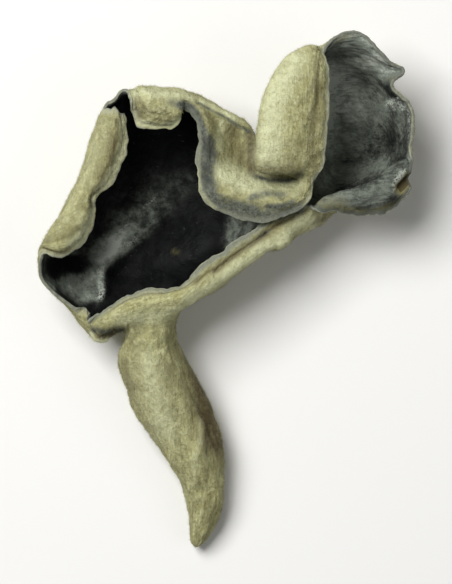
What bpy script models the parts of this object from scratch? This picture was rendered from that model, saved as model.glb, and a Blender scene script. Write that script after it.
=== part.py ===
"""Dried wood ear mushroom: one leathery sheet, smooth and black inside, khaki and felted outside.

The sheet is a trough that lies left to right, pinched at a neck into a large hollow on the left
and a smaller one on the right. Its left margin rolls in, its back margin folds over as a flap,
a rounded lip and an upright tongue, and a pouch-like stem runs forward from its front wall.
Every length is in millimetres and lies on the middle of the sheet: +X right, +Y back, +Z up.
"""

import bmesh
import bpy
import numpy as np

NAME = "wood_ear"
METRES_PER_MM = 0.001
SHEET_THICKNESS = 0.8
MARGIN_THICKNESS = 0.5
KHAKI = (0.42, 0.40, 0.19, 1.0)
FELT_ROUGHNESS = 0.85

COLUMNS_PER_STATION = 2
ROWS_BETWEEN_LINES = (2, 3, 3, 4, 3, 4, 4, 4, 3, 3, 3)
STEM_RINGS = 14
SMOOTHING_ROUNDS = 2
SMOOTHING_FACTOR = 0.3

# Lines that run left to right along the sheet, from its front margin over the floor to its back
# margin. Each point is (station, x, y, z), and the same station on two lines faces each other.
FRONT_LIP = [
    (0, -15.8, -3.2, 9.6), (1, -14.9, -2.6, 10.8), (2, -13.8, -1.8, 11.5), (3, -12.5, -0.9, 11.9),
    (4, -11.0, -0.1, 12.0), (5.5, -8.6, 0.45, 12.1), (7, -6.0, 0.7, 12.0), (8, -4.6, 1.2, 12.0),
    (9, -3.4, 2.3, 12.0), (10, -2.2, 3.5, 12.0), (11.5, 0.0, 5.1, 12.0), (13, 2.0, 6.4, 11.8),
    (14, 3.4, 7.5, 11.5), (15, 4.8, 8.4, 11.2), (16, 6.3, 9.2, 11.0), (17, 7.8, 9.9, 10.9),
    (18, 9.1, 10.4, 11.1), (18.6, 10.1, 10.1, 11.3), (19, 10.9, 9.7, 11.4), (20, 12.8, 9.65, 11.0),
    (21, 15.0, 9.5, 10.3), (22, 17.0, 9.4, 10.1), (23, 18.7, 9.7, 10.0), (24, 20.0, 10.3, 10.0),
    (25, 21.0, 11.2, 10.1), (26, 21.7, 12.2, 10.2), (27, 21.8, 13.4, 10.3),
]
FRONT_ROLL = [
    (0, -16.0, -1.9, 7.6), (1, -15.4, -4.0, 9.2), (2, -14.4, -4.3, 10.2), (3, -12.9, -3.2, 11.8),
    (4, -11.3, -2.1, 12.4), (5.5, -8.8, -1.2, 12.6), (7, -6.1, -0.7, 12.6), (8, -4.5, -0.2, 12.6),
    (9, -3.0, 0.8, 12.5), (10, -1.6, 2.0, 12.4), (11.5, 0.7, 3.6, 12.4), (13, 2.9, 5.0, 12.1),
    (14, 4.2, 6.0, 11.9), (15, 5.5, 6.8, 11.6), (16, 6.9, 7.4, 11.2), (17, 8.2, 8.0, 10.7),
    (18, 9.6, 8.7, 10.2), (18.6, 10.6, 9.9, 10.5), (19, 11.3, 10.8, 11.4), (20, 13.0, 11.5, 11.8),
    (21, 15.0, 12.1, 11.9), (22, 17.0, 12.8, 11.8), (23, 18.5, 13.8, 11.6), (24, 19.7, 14.7, 11.4),
    (25, 20.6, 15.2, 11.1), (26, 21.2, 15.4, 10.7), (27, 21.8, 15.6, 10.5),
]
FRONT_SIDE = [
    (0, -17.3, -1.6, 8.4), (1, -16.6, -3.2, 6.6), (2, -14.7, -5.7, 6.4), (3, -12.9, -4.6, 7.2),
    (4, -11.3, -3.9, 9.0), (5.5, -8.8, -2.6, 9.4), (7, -6.2, -1.7, 9.2), (8, -4.4, -0.9, 9.0),
    (9, -2.6, -0.1, 8.8), (10, -0.9, 0.8, 8.6), (11.5, 1.4, 2.6, 8.4), (13, 3.5, 4.5, 8.2),
    (14, 4.8, 5.3, 8.2), (15, 6.2, 5.5, 8.2), (16, 7.6, 6.5, 8.4), (17, 9.0, 7.4, 8.4),
    (18, 10.4, 7.8, 7.8), (19, 12.0, 8.9, 6.6), (20, 13.6, 10.3, 6.6), (21, 15.4, 11.2, 6.8),
    (22, 17.2, 12.1, 7.0), (23, 18.8, 13.3, 7.4), (24, 20.0, 14.5, 8.0), (25, 20.9, 15.5, 8.7),
    (26, 21.5, 16.1, 9.4), (27, 21.8, 16.9, 10.3),
]
FRONT_FOOT = [
    (0, -19.6, 0.0, 9.0), (1, -18.6, -0.8, 6.6), (2, -16.4, -3.0, 4.6), (3, -13.6, -3.2, 4.2),
    (4, -11.5, -2.6, 4.4), (5.5, -8.8, -1.6, 4.4), (7, -6.2, -0.4, 4.2), (8.5, -3.4, 0.9, 4.0),
    (10, -0.6, 2.6, 4.0), (12, 2.6, 5.0, 4.4), (14, 5.4, 7.2, 5.2), (16, 8.0, 8.2, 6.0),
    (18, 10.4, 9.6, 5.4), (20, 13.6, 11.0, 3.6), (22, 17.2, 12.8, 3.6), (24, 19.8, 15.0, 4.8),
    (26, 21.3, 17.2, 8.0), (27, 21.9, 18.2, 10.6),
]
FLOOR_FRONT = [
    (0, -21.4, 2.4, 9.8), (1, -20.9, 1.8, 7.6), (2, -19.2, 0.6, 4.2), (3, -16.2, 1.0, 1.8),
    (4, -13.6, 1.4, 0.8), (6, -9.6, 2.4, 0.1), (8, -5.6, 3.6, 0.0), (10, -1.6, 5.2, 0.3),
    (12, 2.0, 7.2, 1.6), (14, 5.0, 8.8, 3.4), (16, 7.6, 9.8, 4.6), (18, 10.2, 11.2, 3.8),
    (20, 13.6, 13.6, 0.3), (22, 17.0, 16.0, 0.6), (24, 19.6, 18.0, 3.0), (26, 21.4, 19.4, 8.0),
    (27, 21.9, 19.8, 11.0),
]
FLOOR_BACK = [
    (0, -20.8, 4.5, 12.0), (1, -21.2, 5.0, 11.2), (2, -21.0, 5.4, 8.4), (3, -19.2, 5.8, 3.6),
    (4, -14.6, 6.4, 0.9), (6, -9.8, 7.6, 0.0), (8, -6.0, 9.0, 0.0), (10, -2.4, 9.8, 0.1),
    (12, 1.0, 10.6, 1.6), (14, 4.2, 11.2, 3.6), (16, 7.2, 11.4, 5.0), (18, 9.8, 12.4, 4.6),
    (19, 11.2, 14.2, 2.6), (20, 12.4, 16.0, 0.1), (22, 15.8, 19.4, 0.4), (24, 18.6, 21.4, 3.4),
    (26, 20.6, 22.2, 8.2), (27, 21.3, 22.3, 11.3),
]
BACK_FOOT = [
    (0, -18.4, 4.5, 11.4), (1, -19.2, 6.4, 13.0), (2, -20.0, 7.4, 9.6), (3, -18.6, 8.2, 3.6),
    (4, -14.4, 9.6, 0.9), (5, -11.8, 11.2, 0.6), (6, -9.9, 12.2, 0.4), (8, -6.6, 13.8, 0.4),
    (10, -3.6, 14.6, 0.9), (12, -0.8, 14.8, 2.0), (14, 2.6, 13.2, 3.9), (16, 6.6, 12.2, 6.0),
    (18, 9.2, 13.2, 6.2), (19, 10.0, 15.6, 3.6), (20, 10.6, 17.8, 1.8), (21, 11.7, 19.8, 1.4),
    (22, 13.4, 22.0, 1.6), (23, 15.0, 23.6, 2.4), (24, 16.8, 24.8, 3.8), (25, 18.4, 24.9, 6.0),
    (26, 19.2, 24.6, 8.6), (27, 19.6, 24.3, 11.4),
]
BACK_SIDE = [
    (0, -15.9, 6.6, 10.8), (1, -17.2, 8.4, 13.0), (2, -18.8, 9.6, 9.6), (3, -17.8, 10.6, 3.8),
    (4, -14.2, 12.4, 1.2), (5, -11.6, 17.0, 2.8), (6, -9.9, 20.0, 3.4), (7, -8.6, 20.8, 3.6),
    (8, -7.0, 21.0, 3.8), (9, -5.4, 20.6, 4.0), (10, -3.9, 21.6, 5.6), (11, -2.5, 21.4, 6.2),
    (12, -0.9, 20.8, 6.8), (13, 0.8, 19.9, 6.8), (14, 2.6, 18.0, 6.8), (15, 3.8, 15.4, 7.0),
    (16, 5.2, 13.4, 7.4), (17, 7.2, 13.0, 7.8), (18, 8.8, 13.8, 8.0), (19, 8.4, 16.2, 7.0),
    (20, 8.2, 18.4, 6.4), (21, 8.4, 20.8, 6.2), (22, 9.2, 23.8, 6.4), (23, 10.6, 26.2, 6.8),
    (24, 12.6, 27.6, 7.2), (25, 15.4, 27.4, 7.6), (26, 18.4, 26.8, 9.4), (27, 20.9, 26.0, 12.0),
]
BACK_RIDGE = [
    (0, -14.8, 10.4, 10.8), (1, -15.9, 11.6, 12.6), (2, -17.2, 12.2, 9.6), (3, -16.8, 13.4, 4.4),
    (4, -14.0, 15.4, 2.0), (5, -11.7, 20.6, 5.6), (6, -9.9, 23.5, 10.4), (7, -8.8, 24.1, 11.4),
    (8, -7.0, 23.9, 11.3), (9, -5.0, 23.6, 11.3), (10, -3.8, 23.2, 11.5), (11, -2.2, 22.4, 11.8),
    (12, -0.2, 21.4, 11.8), (13, 1.3, 20.6, 11.8), (14, 3.1, 19.3, 11.0), (15, 4.3, 16.9, 9.8),
    (16, 5.2, 14.4, 9.3), (17, 7.2, 13.6, 9.6), (18, 8.6, 14.2, 9.9), (19, 5.2, 15.6, 10.6),
    (20, 5.4, 18.0, 10.6), (21, 5.4, 20.6, 10.8), (22, 6.2, 23.8, 10.8), (23, 8.0, 26.6, 10.6),
    (24, 10.6, 28.3, 10.2), (25, 13.6, 28.8, 9.7), (26, 16.8, 28.4, 10.8), (27, 19.3, 26.9, 12.2),
]
BACK_HOLLOW = [
    (0, -13.0, 13.2, 11.0), (1, -14.5, 14.6, 12.8), (2, -15.8, 15.2, 9.6), (3, -15.8, 16.4, 5.2),
    (4, -13.8, 18.2, 3.4), (5, -11.8, 21.9, 8.2), (6, -9.9, 23.9, 12.4), (7, -9.1, 23.0, 14.2),
    (8, -7.0, 22.9, 14.2), (9, -5.1, 22.7, 13.8), (10, -4.2, 22.7, 13.2), (11, -2.4, 21.7, 12.3),
    (12, -0.8, 19.6, 10.9), (13, 0.6, 17.8, 9.9), (14, 1.9, 16.2, 9.6), (15, 2.8, 14.4, 10.0),
    (16, 4.6, 12.7, 10.7), (17, 7.2, 12.4, 10.9), (18, 8.9, 13.3, 11.2), (18.5, 7.0, 14.4, 11.4),
    (19, 3.9, 13.9, 13.6), (20, 3.9, 16.6, 15.2), (21, 4.3, 20.3, 15.6), (22, 5.3, 24.0, 15.5),
    (23, 7.2, 27.2, 14.6), (24, 9.6, 28.6, 12.6), (24.5, 11.3, 28.2, 11.9), (25, 12.6, 29.2, 11.2),
    (26, 15.6, 29.4, 11.6), (27, 17.8, 28.4, 12.4),
]
BACK_ROLL = [
    (0, -11.3, 17.4, 11.2), (1, -13.3, 18.2, 13.0), (2, -15.1, 18.6, 9.8), (3, -14.9, 19.4, 6.4),
    (4, -13.6, 20.6, 5.8), (5, -11.7, 22.8, 10.4), (6, -10.1, 23.4, 13.7), (7, -9.6, 21.3, 14.5),
    (8, -7.2, 21.0, 14.4), (9, -5.2, 21.2, 14.0), (10, -4.6, 22.2, 13.3), (11, -2.7, 21.0, 12.9),
    (12, -1.7, 18.6, 13.1), (13, -1.7, 15.4, 13.3), (14, -0.7, 12.4, 13.7), (15, 1.2, 11.8, 13.9),
    (16, 4.0, 11.3, 13.8), (17, 6.9, 11.0, 13.4), (18, 9.4, 12.5, 13.1), (18.5, 9.4, 14.2, 12.7),
    (19, 7.6, 13.9, 14.1), (20, 8.4, 16.8, 15.4), (21, 9.0, 20.2, 15.6), (22, 9.6, 23.8, 15.5),
    (23, 10.1, 26.9, 14.8), (24, 10.3, 28.7, 13.6), (24.5, 11.2, 28.0, 12.8), (25, 12.2, 29.2, 12.2),
    (26, 14.7, 30.0, 12.0), (27, 16.5, 29.8, 12.3),
]
BACK_LIP = [
    (0, -11.6, 20.9, 11.6), (1, -12.7, 21.5, 12.8), (2, -13.9, 21.4, 10.6), (3, -13.5, 22.2, 10.2),
    (4, -12.6, 22.8, 11.4), (5, -11.5, 23.5, 12.3), (6, -10.6, 22.4, 14.2), (7, -10.0, 19.5, 12.8),
    (8, -7.6, 19.3, 12.6), (9, -5.4, 19.7, 12.6), (10, -4.9, 21.6, 12.9), (11, -3.3, 20.6, 12.6),
    (12, -2.9, 18.2, 12.2), (13, -3.2, 14.8, 12.2), (14, -2.4, 11.3, 12.4), (15, -0.2, 9.7, 12.6),
    (16, 3.2, 8.6, 12.7), (17, 6.5, 8.9, 12.7), (18, 10.0, 11.1, 12.4), (18.5, 10.2, 13.2, 12.4),
    (19, 11.3, 14.6, 12.8), (20, 11.7, 17.4, 13.3), (21, 11.9, 20.4, 13.7), (22, 12.0, 24.0, 13.8),
    (23, 11.7, 26.8, 13.7), (24, 11.2, 27.9, 13.4), (24.5, 11.4, 27.8, 13.1), (25, 11.9, 28.9, 12.9),
    (26, 13.6, 30.2, 12.4), (27, 15.2, 30.5, 12.4),
]
LINES = (
    FRONT_LIP, FRONT_ROLL, FRONT_SIDE, FRONT_FOOT, FLOOR_FRONT, FLOOR_BACK,
    BACK_FOOT, BACK_SIDE, BACK_RIDGE, BACK_HOLLOW, BACK_ROLL, BACK_LIP,
)

# The stem opens from the front wall between these stations and these lines, and narrows to its
# toe. Each section across it is (y, left x, right x, bottom z, top z).
STEM_STATIONS = (4.0, 7.5)
STEM_LINES = (4 / 3, 3.5)
STEM_SECTIONS = [
    (-5.0, -11.2, -6.0, 3.2, 10.0), (-7.6, -12.7, -4.7, 2.0, 9.6), (-10.6, -11.5, -3.0, 1.0, 9.0),
    (-14.0, -10.6, -1.4, 0.3, 8.0), (-18.0, -7.7, -0.3, 0.0, 6.8), (-21.8, -5.0, -0.3, 0.0, 5.6),
    (-25.2, -4.1, -0.3, 0.1, 4.4), (-28.0, -3.9, -1.6, 0.6, 3.4), (-29.8, -3.7, -2.8, 1.2, 2.3),
]

# Small folds: (rise towards the black face, reach, points that the fold follows).
FOLDS = [
    (1.0, 1.3, [(-14.9, 0.4, 2.2), (-14.4, 3.4, 1.5), (-12.2, 6.8, 0.8), (-8.4, 9.4, 0.5)]),
    (0.6, 1.0, [(-14.4, 11.0, 11.0), (-16.4, 11.6, 12.7)]),
    (0.4, 0.8, [(-1.2, 17.6, 13.0), (-1.4, 15.8, 13.2), (-1.2, 13.6, 13.4)]),
    (0.5, 1.3, [(-10.4, 20.6, 14.2), (-9.4, 20.4, 14.4)]),
    (-0.6, 1.8, [(-8.4, -5.0, 10.2), (-7.9, -10.0, 9.2), (-6.9, -15.0, 7.8), (-4.9, -19.0, 6.5)]),
    (0.9, 1.5, [(-3.9, -8.4, 8.4), (-2.7, -11.6, 7.6), (-1.6, -15.0, 6.2)]),
    (-0.5, 0.8, [(-2.6, -15.6, 7.2), (-3.2, -18.6, 6.6), (-3.0, -22.0, 5.5)]),
    (-0.5, 0.9, [(6.6, 4.8, 8.3), (6.9, 6.2, 10.6), (6.6, 7.4, 11.3)]),
]


def curve_through(keys, points, wanted):
    """Smooth curve that passes through the points at their keys, read at the wanted keys."""
    step = np.diff(keys)[:, None]
    slope = np.diff(points, axis=0) / step
    inner = (slope[:-1] * step[1:] + slope[1:] * step[:-1]) / (step[:-1] + step[1:])
    tangent = np.vstack([slope[:1], inner, slope[-1:]])
    gap = np.clip(np.searchsorted(keys, wanted, side="right") - 1, 0, len(keys) - 2)
    t = (wanted - keys[gap])[:, None] / step[gap]
    leave, arrive = tangent[gap] * step[gap], tangent[gap + 1] * step[gap]
    return (
        points[gap] * (1 + 2 * t) * (1 - t) ** 2 + leave * t * (1 - t) ** 2
        + points[gap + 1] * t**2 * (3 - 2 * t) - arrive * t**2 * (1 - t)
    )


def keys_by_distance(points):
    """Keys for points along a curve: the running sum of the square roots of their distances."""
    distance = np.linalg.norm(np.diff(points, axis=0), axis=1)
    return np.concatenate([[0.0], np.cumsum(np.sqrt(distance))])


def sheet_points():
    """Points of the open sheet by column and row, the station of each column and line of each row."""
    last_station = FRONT_LIP[-1][0]
    stations = np.linspace(0, last_station, last_station * COLUMNS_PER_STATION + 1)
    rows = [line + np.arange(count) / count for line, count in enumerate(ROWS_BETWEEN_LINES)]
    rows = np.concatenate(rows + [[len(LINES) - 1]])
    lines = []
    for line in LINES:
        table = np.array(line)
        lines.append(curve_through(table[:, 0], table[:, 1:], stations))
    columns = []
    for across in np.array(lines).transpose(1, 0, 2):
        keys = keys_by_distance(across)
        columns.append(curve_through(keys, across, np.interp(rows, np.arange(len(LINES)), keys)))
    return columns, stations, rows


def nearest(values, wanted):
    return int(np.argmin(np.abs(values - wanted)))


def add_sheet(bm):
    """Adds the sheet, with a hole for the stem. Returns the loop around the hole, as pairs of a
    vertex on it and the vertex next to that one outside it."""
    columns, stations, rows = sheet_points()
    grid = [[bm.verts.new(point) for point in column] for column in columns]
    first, last = (nearest(stations, station) for station in STEM_STATIONS)
    low, high = (nearest(rows, line) for line in STEM_LINES)
    for i in range(len(stations) - 1):
        for j in range(len(rows) - 1):
            in_hole = first <= i < last and low <= j < high
            if not in_hole:
                bm.faces.new((grid[i][j], grid[i + 1][j], grid[i + 1][j + 1], grid[i][j + 1]))
    loop = [(grid[i][low], grid[i][low - 1]) for i in range(first, last)]
    loop += [(grid[last][j], grid[last + 1][j]) for j in range(low, high)]
    loop += [(grid[i][high], grid[i][high + 1]) for i in range(last, first, -1)]
    loop += [(grid[first][j], grid[first - 1][j]) for j in range(high, low, -1)]
    for i in range(first + 1, last):
        for j in range(low + 1, high):
            bm.verts.remove(grid[i][j])
    return loop


def add_stem(bm, loop):
    """Adds the stem: rings from the hole through the stem's sections to a closed toe."""
    edge = np.array([vertex.co for vertex, _ in loop])
    outside = np.array([vertex.co for _, vertex in loop])
    middle = edge.mean(axis=0)
    reach = np.ptp(edge, axis=0) / 2
    turn = np.arctan2((edge[:, 2] - middle[2]) / reach[2], (edge[:, 0] - middle[0]) / reach[0])
    sections = [outside, edge]
    for y, left, right, bottom, top in STEM_SECTIONS:
        x = (left + right) / 2 + (right - left) / 2 * np.cos(turn)
        z = (bottom + top) / 2 + (top - bottom) / 2 * np.sin(turn)
        sections.append(np.column_stack([x, np.full(len(turn), y), z]))
    lengthways = []
    for path in np.array(sections).transpose(1, 0, 2):
        keys = keys_by_distance(path)
        wanted = np.linspace(keys[1], keys[-1], STEM_RINGS + 1)[1:]
        lengthways.append(curve_through(keys, path, wanted))
    ring = [vertex for vertex, _ in loop]
    for points in np.array(lengthways).transpose(1, 0, 2):
        following = [bm.verts.new(point) for point in points]
        for k, vertex in enumerate(ring):
            after = (k + 1) % len(ring)
            bm.faces.new((vertex, ring[after], following[after], following[k]))
        ring = following
    bm.faces.new(ring)


def smooth(bm):
    inner = [vertex for vertex in bm.verts if not vertex.is_boundary]
    for _ in range(SMOOTHING_ROUNDS):
        bmesh.ops.smooth_vert(
            bm, verts=inner, factor=SMOOTHING_FACTOR, use_axis_x=True, use_axis_y=True, use_axis_z=True
        )


def distance_to_path(points, path):
    """Distance from each point to the nearest of the straight pieces of a path."""
    nearest_yet = np.full(len(points), np.inf)
    for start, end in zip(path[:-1], path[1:]):
        along = end - start
        t = np.clip((points - start) @ along / (along @ along), 0, 1)
        gap = np.linalg.norm(points - start - t[:, None] * along, axis=1)
        nearest_yet = np.minimum(nearest_yet, gap)
    return nearest_yet


def add_folds(bm):
    bm.normal_update()
    points = np.array([vertex.co for vertex in bm.verts])
    rise = np.zeros(len(points))
    for height, reach, path in FOLDS:
        rise += height * np.exp(-((distance_to_path(points, np.array(path)) / reach) ** 2))
    for vertex, distance in zip(bm.verts, rise):
        vertex.co += vertex.normal * distance


def rest_on_floor(bm):
    """Flattens the lowest part of the sheet, so that its outer face lies flat on the floor."""
    for vertex in bm.verts:
        vertex.co.z = max(vertex.co.z, SHEET_THICKNESS / 2)


def felt_material():
    material = bpy.data.materials.new("khaki_felt")
    material.use_nodes = True
    shader = material.node_tree.nodes["Principled BSDF"]
    shader.inputs["Base Color"].default_value = KHAKI
    shader.inputs["Roughness"].default_value = FELT_ROUGHNESS
    shader.inputs["Metallic"].default_value = 0.0
    return material


def thicken(obj):
    """Gives the sheet its thickness, less at the margin."""
    boundary = bmesh.new()
    boundary.from_mesh(obj.data)
    inner = [vertex.index for vertex in boundary.verts if not vertex.is_boundary]
    boundary.free()
    group = obj.vertex_groups.new(name="away_from_margin")
    group.add(inner, 1.0, "REPLACE")
    solidify = obj.modifiers.new("thickness", "SOLIDIFY")
    solidify.thickness = SHEET_THICKNESS * METRES_PER_MM
    solidify.offset = 0.0
    solidify.vertex_group = group.name
    solidify.thickness_vertex_group = MARGIN_THICKNESS / SHEET_THICKNESS


def centre_over_origin(obj):
    """Moves the sheet so that the middle of the bottom of its bounding box is the origin."""
    graph = bpy.context.evaluated_depsgraph_get()
    corners = np.array(obj.evaluated_get(graph).bound_box)
    low, high = corners.min(axis=0), corners.max(axis=0)
    shift = np.array([(low[0] + high[0]) / 2, (low[1] + high[1]) / 2, low[2]])
    for vertex in obj.data.vertices:
        vertex.co = np.array(vertex.co) - shift


def clear_scene():
    for existing in list(bpy.data.objects):
        bpy.data.objects.remove(existing)


def build():
    clear_scene()
    bm = bmesh.new()
    add_stem(bm, add_sheet(bm))
    smooth(bm)
    add_folds(bm)
    rest_on_floor(bm)
    bmesh.ops.scale(bm, verts=bm.verts, vec=(METRES_PER_MM,) * 3)
    mesh = bpy.data.meshes.new(NAME)
    bm.to_mesh(mesh)
    bm.free()
    mesh.materials.append(felt_material())
    mesh.shade_smooth()
    obj = bpy.data.objects.new(NAME, mesh)
    bpy.context.scene.collection.objects.link(obj)
    thicken(obj)
    centre_over_origin(obj)


build()
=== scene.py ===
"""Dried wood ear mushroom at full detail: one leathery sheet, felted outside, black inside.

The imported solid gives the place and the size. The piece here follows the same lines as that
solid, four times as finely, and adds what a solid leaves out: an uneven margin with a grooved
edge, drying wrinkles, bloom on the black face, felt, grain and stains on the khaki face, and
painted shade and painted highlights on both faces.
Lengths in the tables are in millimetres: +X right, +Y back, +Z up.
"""

import math

import bpy
import numpy as np
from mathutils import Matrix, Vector, noise


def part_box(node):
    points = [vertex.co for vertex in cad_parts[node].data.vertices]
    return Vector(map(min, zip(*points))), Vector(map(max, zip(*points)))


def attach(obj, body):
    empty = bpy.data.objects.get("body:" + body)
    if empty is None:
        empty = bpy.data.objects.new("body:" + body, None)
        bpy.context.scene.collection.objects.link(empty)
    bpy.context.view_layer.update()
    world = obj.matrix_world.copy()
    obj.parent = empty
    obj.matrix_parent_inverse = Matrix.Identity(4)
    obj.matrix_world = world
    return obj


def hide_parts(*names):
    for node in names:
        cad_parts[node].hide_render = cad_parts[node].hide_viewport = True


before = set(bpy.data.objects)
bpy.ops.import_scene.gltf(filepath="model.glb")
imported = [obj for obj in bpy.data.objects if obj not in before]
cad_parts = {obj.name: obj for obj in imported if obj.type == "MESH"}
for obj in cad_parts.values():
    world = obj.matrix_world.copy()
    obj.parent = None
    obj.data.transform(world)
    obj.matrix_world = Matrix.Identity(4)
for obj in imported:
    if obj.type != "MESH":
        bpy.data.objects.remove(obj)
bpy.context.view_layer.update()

NODE = "wood_ear"
METRES_PER_MM = 0.001
SHEET_THICKNESS = 0.8
MARGIN_THICKNESS = 0.4
MARGIN_TAPER = 1.2

# The grid is REFINE times as fine as the solid's.
REFINE = 4
COLUMNS_PER_STATION = 2 * REFINE
ROWS_BETWEEN_LINES = tuple(REFINE * rows for rows in (2, 3, 3, 4, 3, 4, 4, 4, 3, 3, 3))
STEM_RINGS = 14 * REFINE
TOE_RINGS = 5
SMOOTHING_ROUNDS = 2 * REFINE**2
SMOOTHING_FACTOR = 0.3
NORMAL_SMOOTHING_ROUNDS = 8
EDGE_SEGMENTS = 6

# Length round the stem, for its grain, and how far inside the sheet's sides its points count.
STEM_GIRTH = 24.0
FAR_INSIDE = 24.0

# Folds too fine for the solid: (rise towards the black face, reach, points that it follows).
FINE_FOLDS = [
    (0.3, 0.5, [(-14.9, 1.6, 2.4), (-14.5, 0.2, 2.6), (-14.7, -1.0, 3.6)]),
    (0.25, 0.6, [(-8.6, 9.8, 0.6), (-6.4, 12.4, 0.8), (-5.4, 15.6, 1.4)]),
    (0.5, 0.55, [(-14.7, 1.4, 2.4), (-14.2, 3.6, 1.8), (-12.6, 5.0, 1.4), (-9.8, 6.6, 0.8)]),
    (0.7, 0.45, [(-1.0, 2.4, 12.5), (1.0, 4.2, 12.4), (3.0, 5.6, 12.2), (5.0, 6.9, 11.7)]),
    (-0.5, 0.8, [
        (-1.6, 1.0, 12.0), (1.0, 2.9, 11.4), (3.2, 4.5, 11.0), (5.2, 5.9, 10.7), (7.2, 6.8, 10.4),
    ]),
    (-0.35, 0.8, [(-12.0, -3.2, 10.6), (-8.0, -2.0, 11.0), (-4.0, -0.8, 11.2)]),
    (0.9, 0.6, [(-15.8, -4.1, 8.8), (-14.5, -4.8, 8.8), (-13.2, -4.4, 9.2), (-12.2, -4.0, 9.6)]),
    (0.5, 0.3, [(-3.0, 22.2, 12.8), (-0.3, 20.8, 12.2), (1.6, 19.6, 11.6), (3.0, 18.9, 11.0)]),
    (-0.3, 0.35, [(-2.9, -14.6, 7.4), (-2.7, -17.2, 6.8), (-3.6, -19.4, 6.0), (-3.4, -22.0, 5.4)]),
    (-1.4, 0.7, [(20.4, 12.4, 10.8), (21.3, 13.4, 10.5)]),
    (0.25, 0.35, [(10.0, 16.0, 14.8), (10.5, 20.0, 15.0), (10.8, 23.6, 14.8), (10.6, 26.6, 14.2)]),
    (0.25, 0.3, [(-9.8, 23.4, 13.6), (-9.2, 22.2, 14.5), (-9.1, 20.6, 14.5)]),
    (0.2, 0.25, [(-8.5, 23.7, 13.4), (-7.9, 22.4, 14.3), (-7.8, 20.8, 14.3)]),
    (0.2, 0.3, [(-7.3, 23.6, 13.2), (-6.6, 22.3, 14.1), (-6.3, 21.0, 14.0)]),
]
SIDES = ("front", "back", "left", "right")
# Grooves just inside the margin: (mark painted in it, depth, side, stations, lines, distance from
# the margin, half its width). They fade out over this many stations and lines.
# Brown in a groove is mostly painted shade, shade in a groove is painted shade, and grey is the
# margin's own colour.
LIP_GROOVES = [
    ("brown_and_shade", 0.3, "left", (-1, 3), (5.0, 11.2), 0.85, 0.32),
    ("grey", 0.0, "front", (1.5, 9.5), (-1, 2), 0.05, 0.3),
    ("grey", 0.0, "front", (8.5, 17.8), (-1, 2), 0.1, 0.55),
    ("painted_shade", 0.16, "front", (1.5, 9.5), (-1, 2), 0.55, 0.18),
    ("brown_and_shade", 0.36, "front", (8.5, 17.6), (-1, 2), 1.1, 0.36),
    ("grey", 0.14, "back", (6.6, 9.2), (9, 12), 0.5, 0.2),
    ("grey", 0.0, "back", (10.4, 18.0), (9, 12), 0.1, 0.6),
]
GROOVE_MARK_SHARE = 0.75
GROOVE_STATION_FADE = 0.6
GROOVE_LINE_FADE = 0.3
# Wrinkles: (height, period, the coordinates that they follow, seed). Creases have sharp valleys
# on the khaki face. "Long" ones are stretched from the front margin towards the back one, where
# a length counts LONG_SHARE of itself. A seed moves the noise by that many steps.
WRINKLES = [
    (0.16, 4.5, "all", 1), (0.10, 1.9, "all", 2), (0.07, 1.1, "long", 3), (0.03, 0.6, "all", 4),
]
CREASES = [(0.16, 3.4, "long", 5), (0.13, 1.7, "all", 6), (0.14, 0.9, "long", 7)]
CREASE_ON_BLACK = 0.25
LONG_SHARE = 0.35
SEED_STEP = (17.3, 5.1, 9.7)
# Where the sheet dried smooth, seen from above: (share of the wrinkles lost, reach, points that
# it follows).
SMOOTH_PARTS = [
    (0.75, 1.6, [(-14.0, -2.4), (-11.0, -1.4), (-6.0, -0.6), (-3.0, 0.6), (0.0, 3.0), (3.0, 5.6)]),
    (0.5, 3.0, [(6.5, 17.0), (7.5, 26.0)]),
]
MARGIN_REACH = 2.2
MARGIN_WAVES = [(0.22, 3.2, 11), (0.10, 1.3, 12)]
MARGIN_NIBBLE_REACH = 0.9
MARGIN_NIBBLES = [(0.32, 2.6, 21), (0.28, 1.0, 22), (0.20, 0.5, 23)]
MARGIN_MOST_OUT = 0.15
EDGE_GROOVE = 0.2
EDGE_GROOVE_WIDTH = 0.45

HAIR_COUNT = 150_000
HAIR_LENGTH = (0.08, 0.20)
HAIR_LEAST_SHARE = 0.35
HAIR_WIDTH = 0.035
HAIR_LEAN = 1.0
HAIR_SEED = 7

BLACK_SLOT, KHAKI_SLOT, MARGIN_SLOT = range(3)
# The two inputs and the output of a Mix node, by number.
MIX_SOCKETS = {"FLOAT": (2, 3, 0), "RGBA": (6, 7, 2)}


def linear(red, green, blue):
    """Scene colour from the usual 0 to 255 values."""
    def channel(value):
        share = value / 255
        return share / 12.92 if share <= 0.04045 else ((share + 0.055) / 1.055) ** 2.4
    return channel(red), channel(green), channel(blue)


KHAKI = linear(189, 187, 134)
KHAKI_DEEP = linear(171, 167, 114)
KHAKI_DARK = linear(123, 118, 79)
KHAKI_PIT = linear(92, 86, 56)
KHAKI_LIGHT = linear(202, 202, 154)
KHAKI_PALE = linear(214, 216, 175)
# Brown of the marks that are mostly painted shade.
BROWN = linear(84, 72, 44)
GREY = linear(98, 102, 94)
GREY_DARK = linear(70, 73, 66)
GREY_LIGHT = linear(124, 128, 114)
RIM_GREY = linear(122, 126, 114)
MARGIN_PALE = linear(172, 173, 144)
# Dark brown of the dent at the curled tip: painted shade over a brown.
DENT_SHADE_BROWN = linear(60, 49, 33)
BLACK_DEEP = linear(9, 10, 10)
BLACK = linear(20, 21, 21)
BLOOM = linear(121, 127, 116)
BLOOM_LIGHT = linear(160, 166, 154)
# The flecks' white, and the palest bloom, which is partly painted light.
BLOOM_PALE = linear(200, 206, 193)
FLOOR_COLOR = linear(238, 237, 234)
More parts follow.
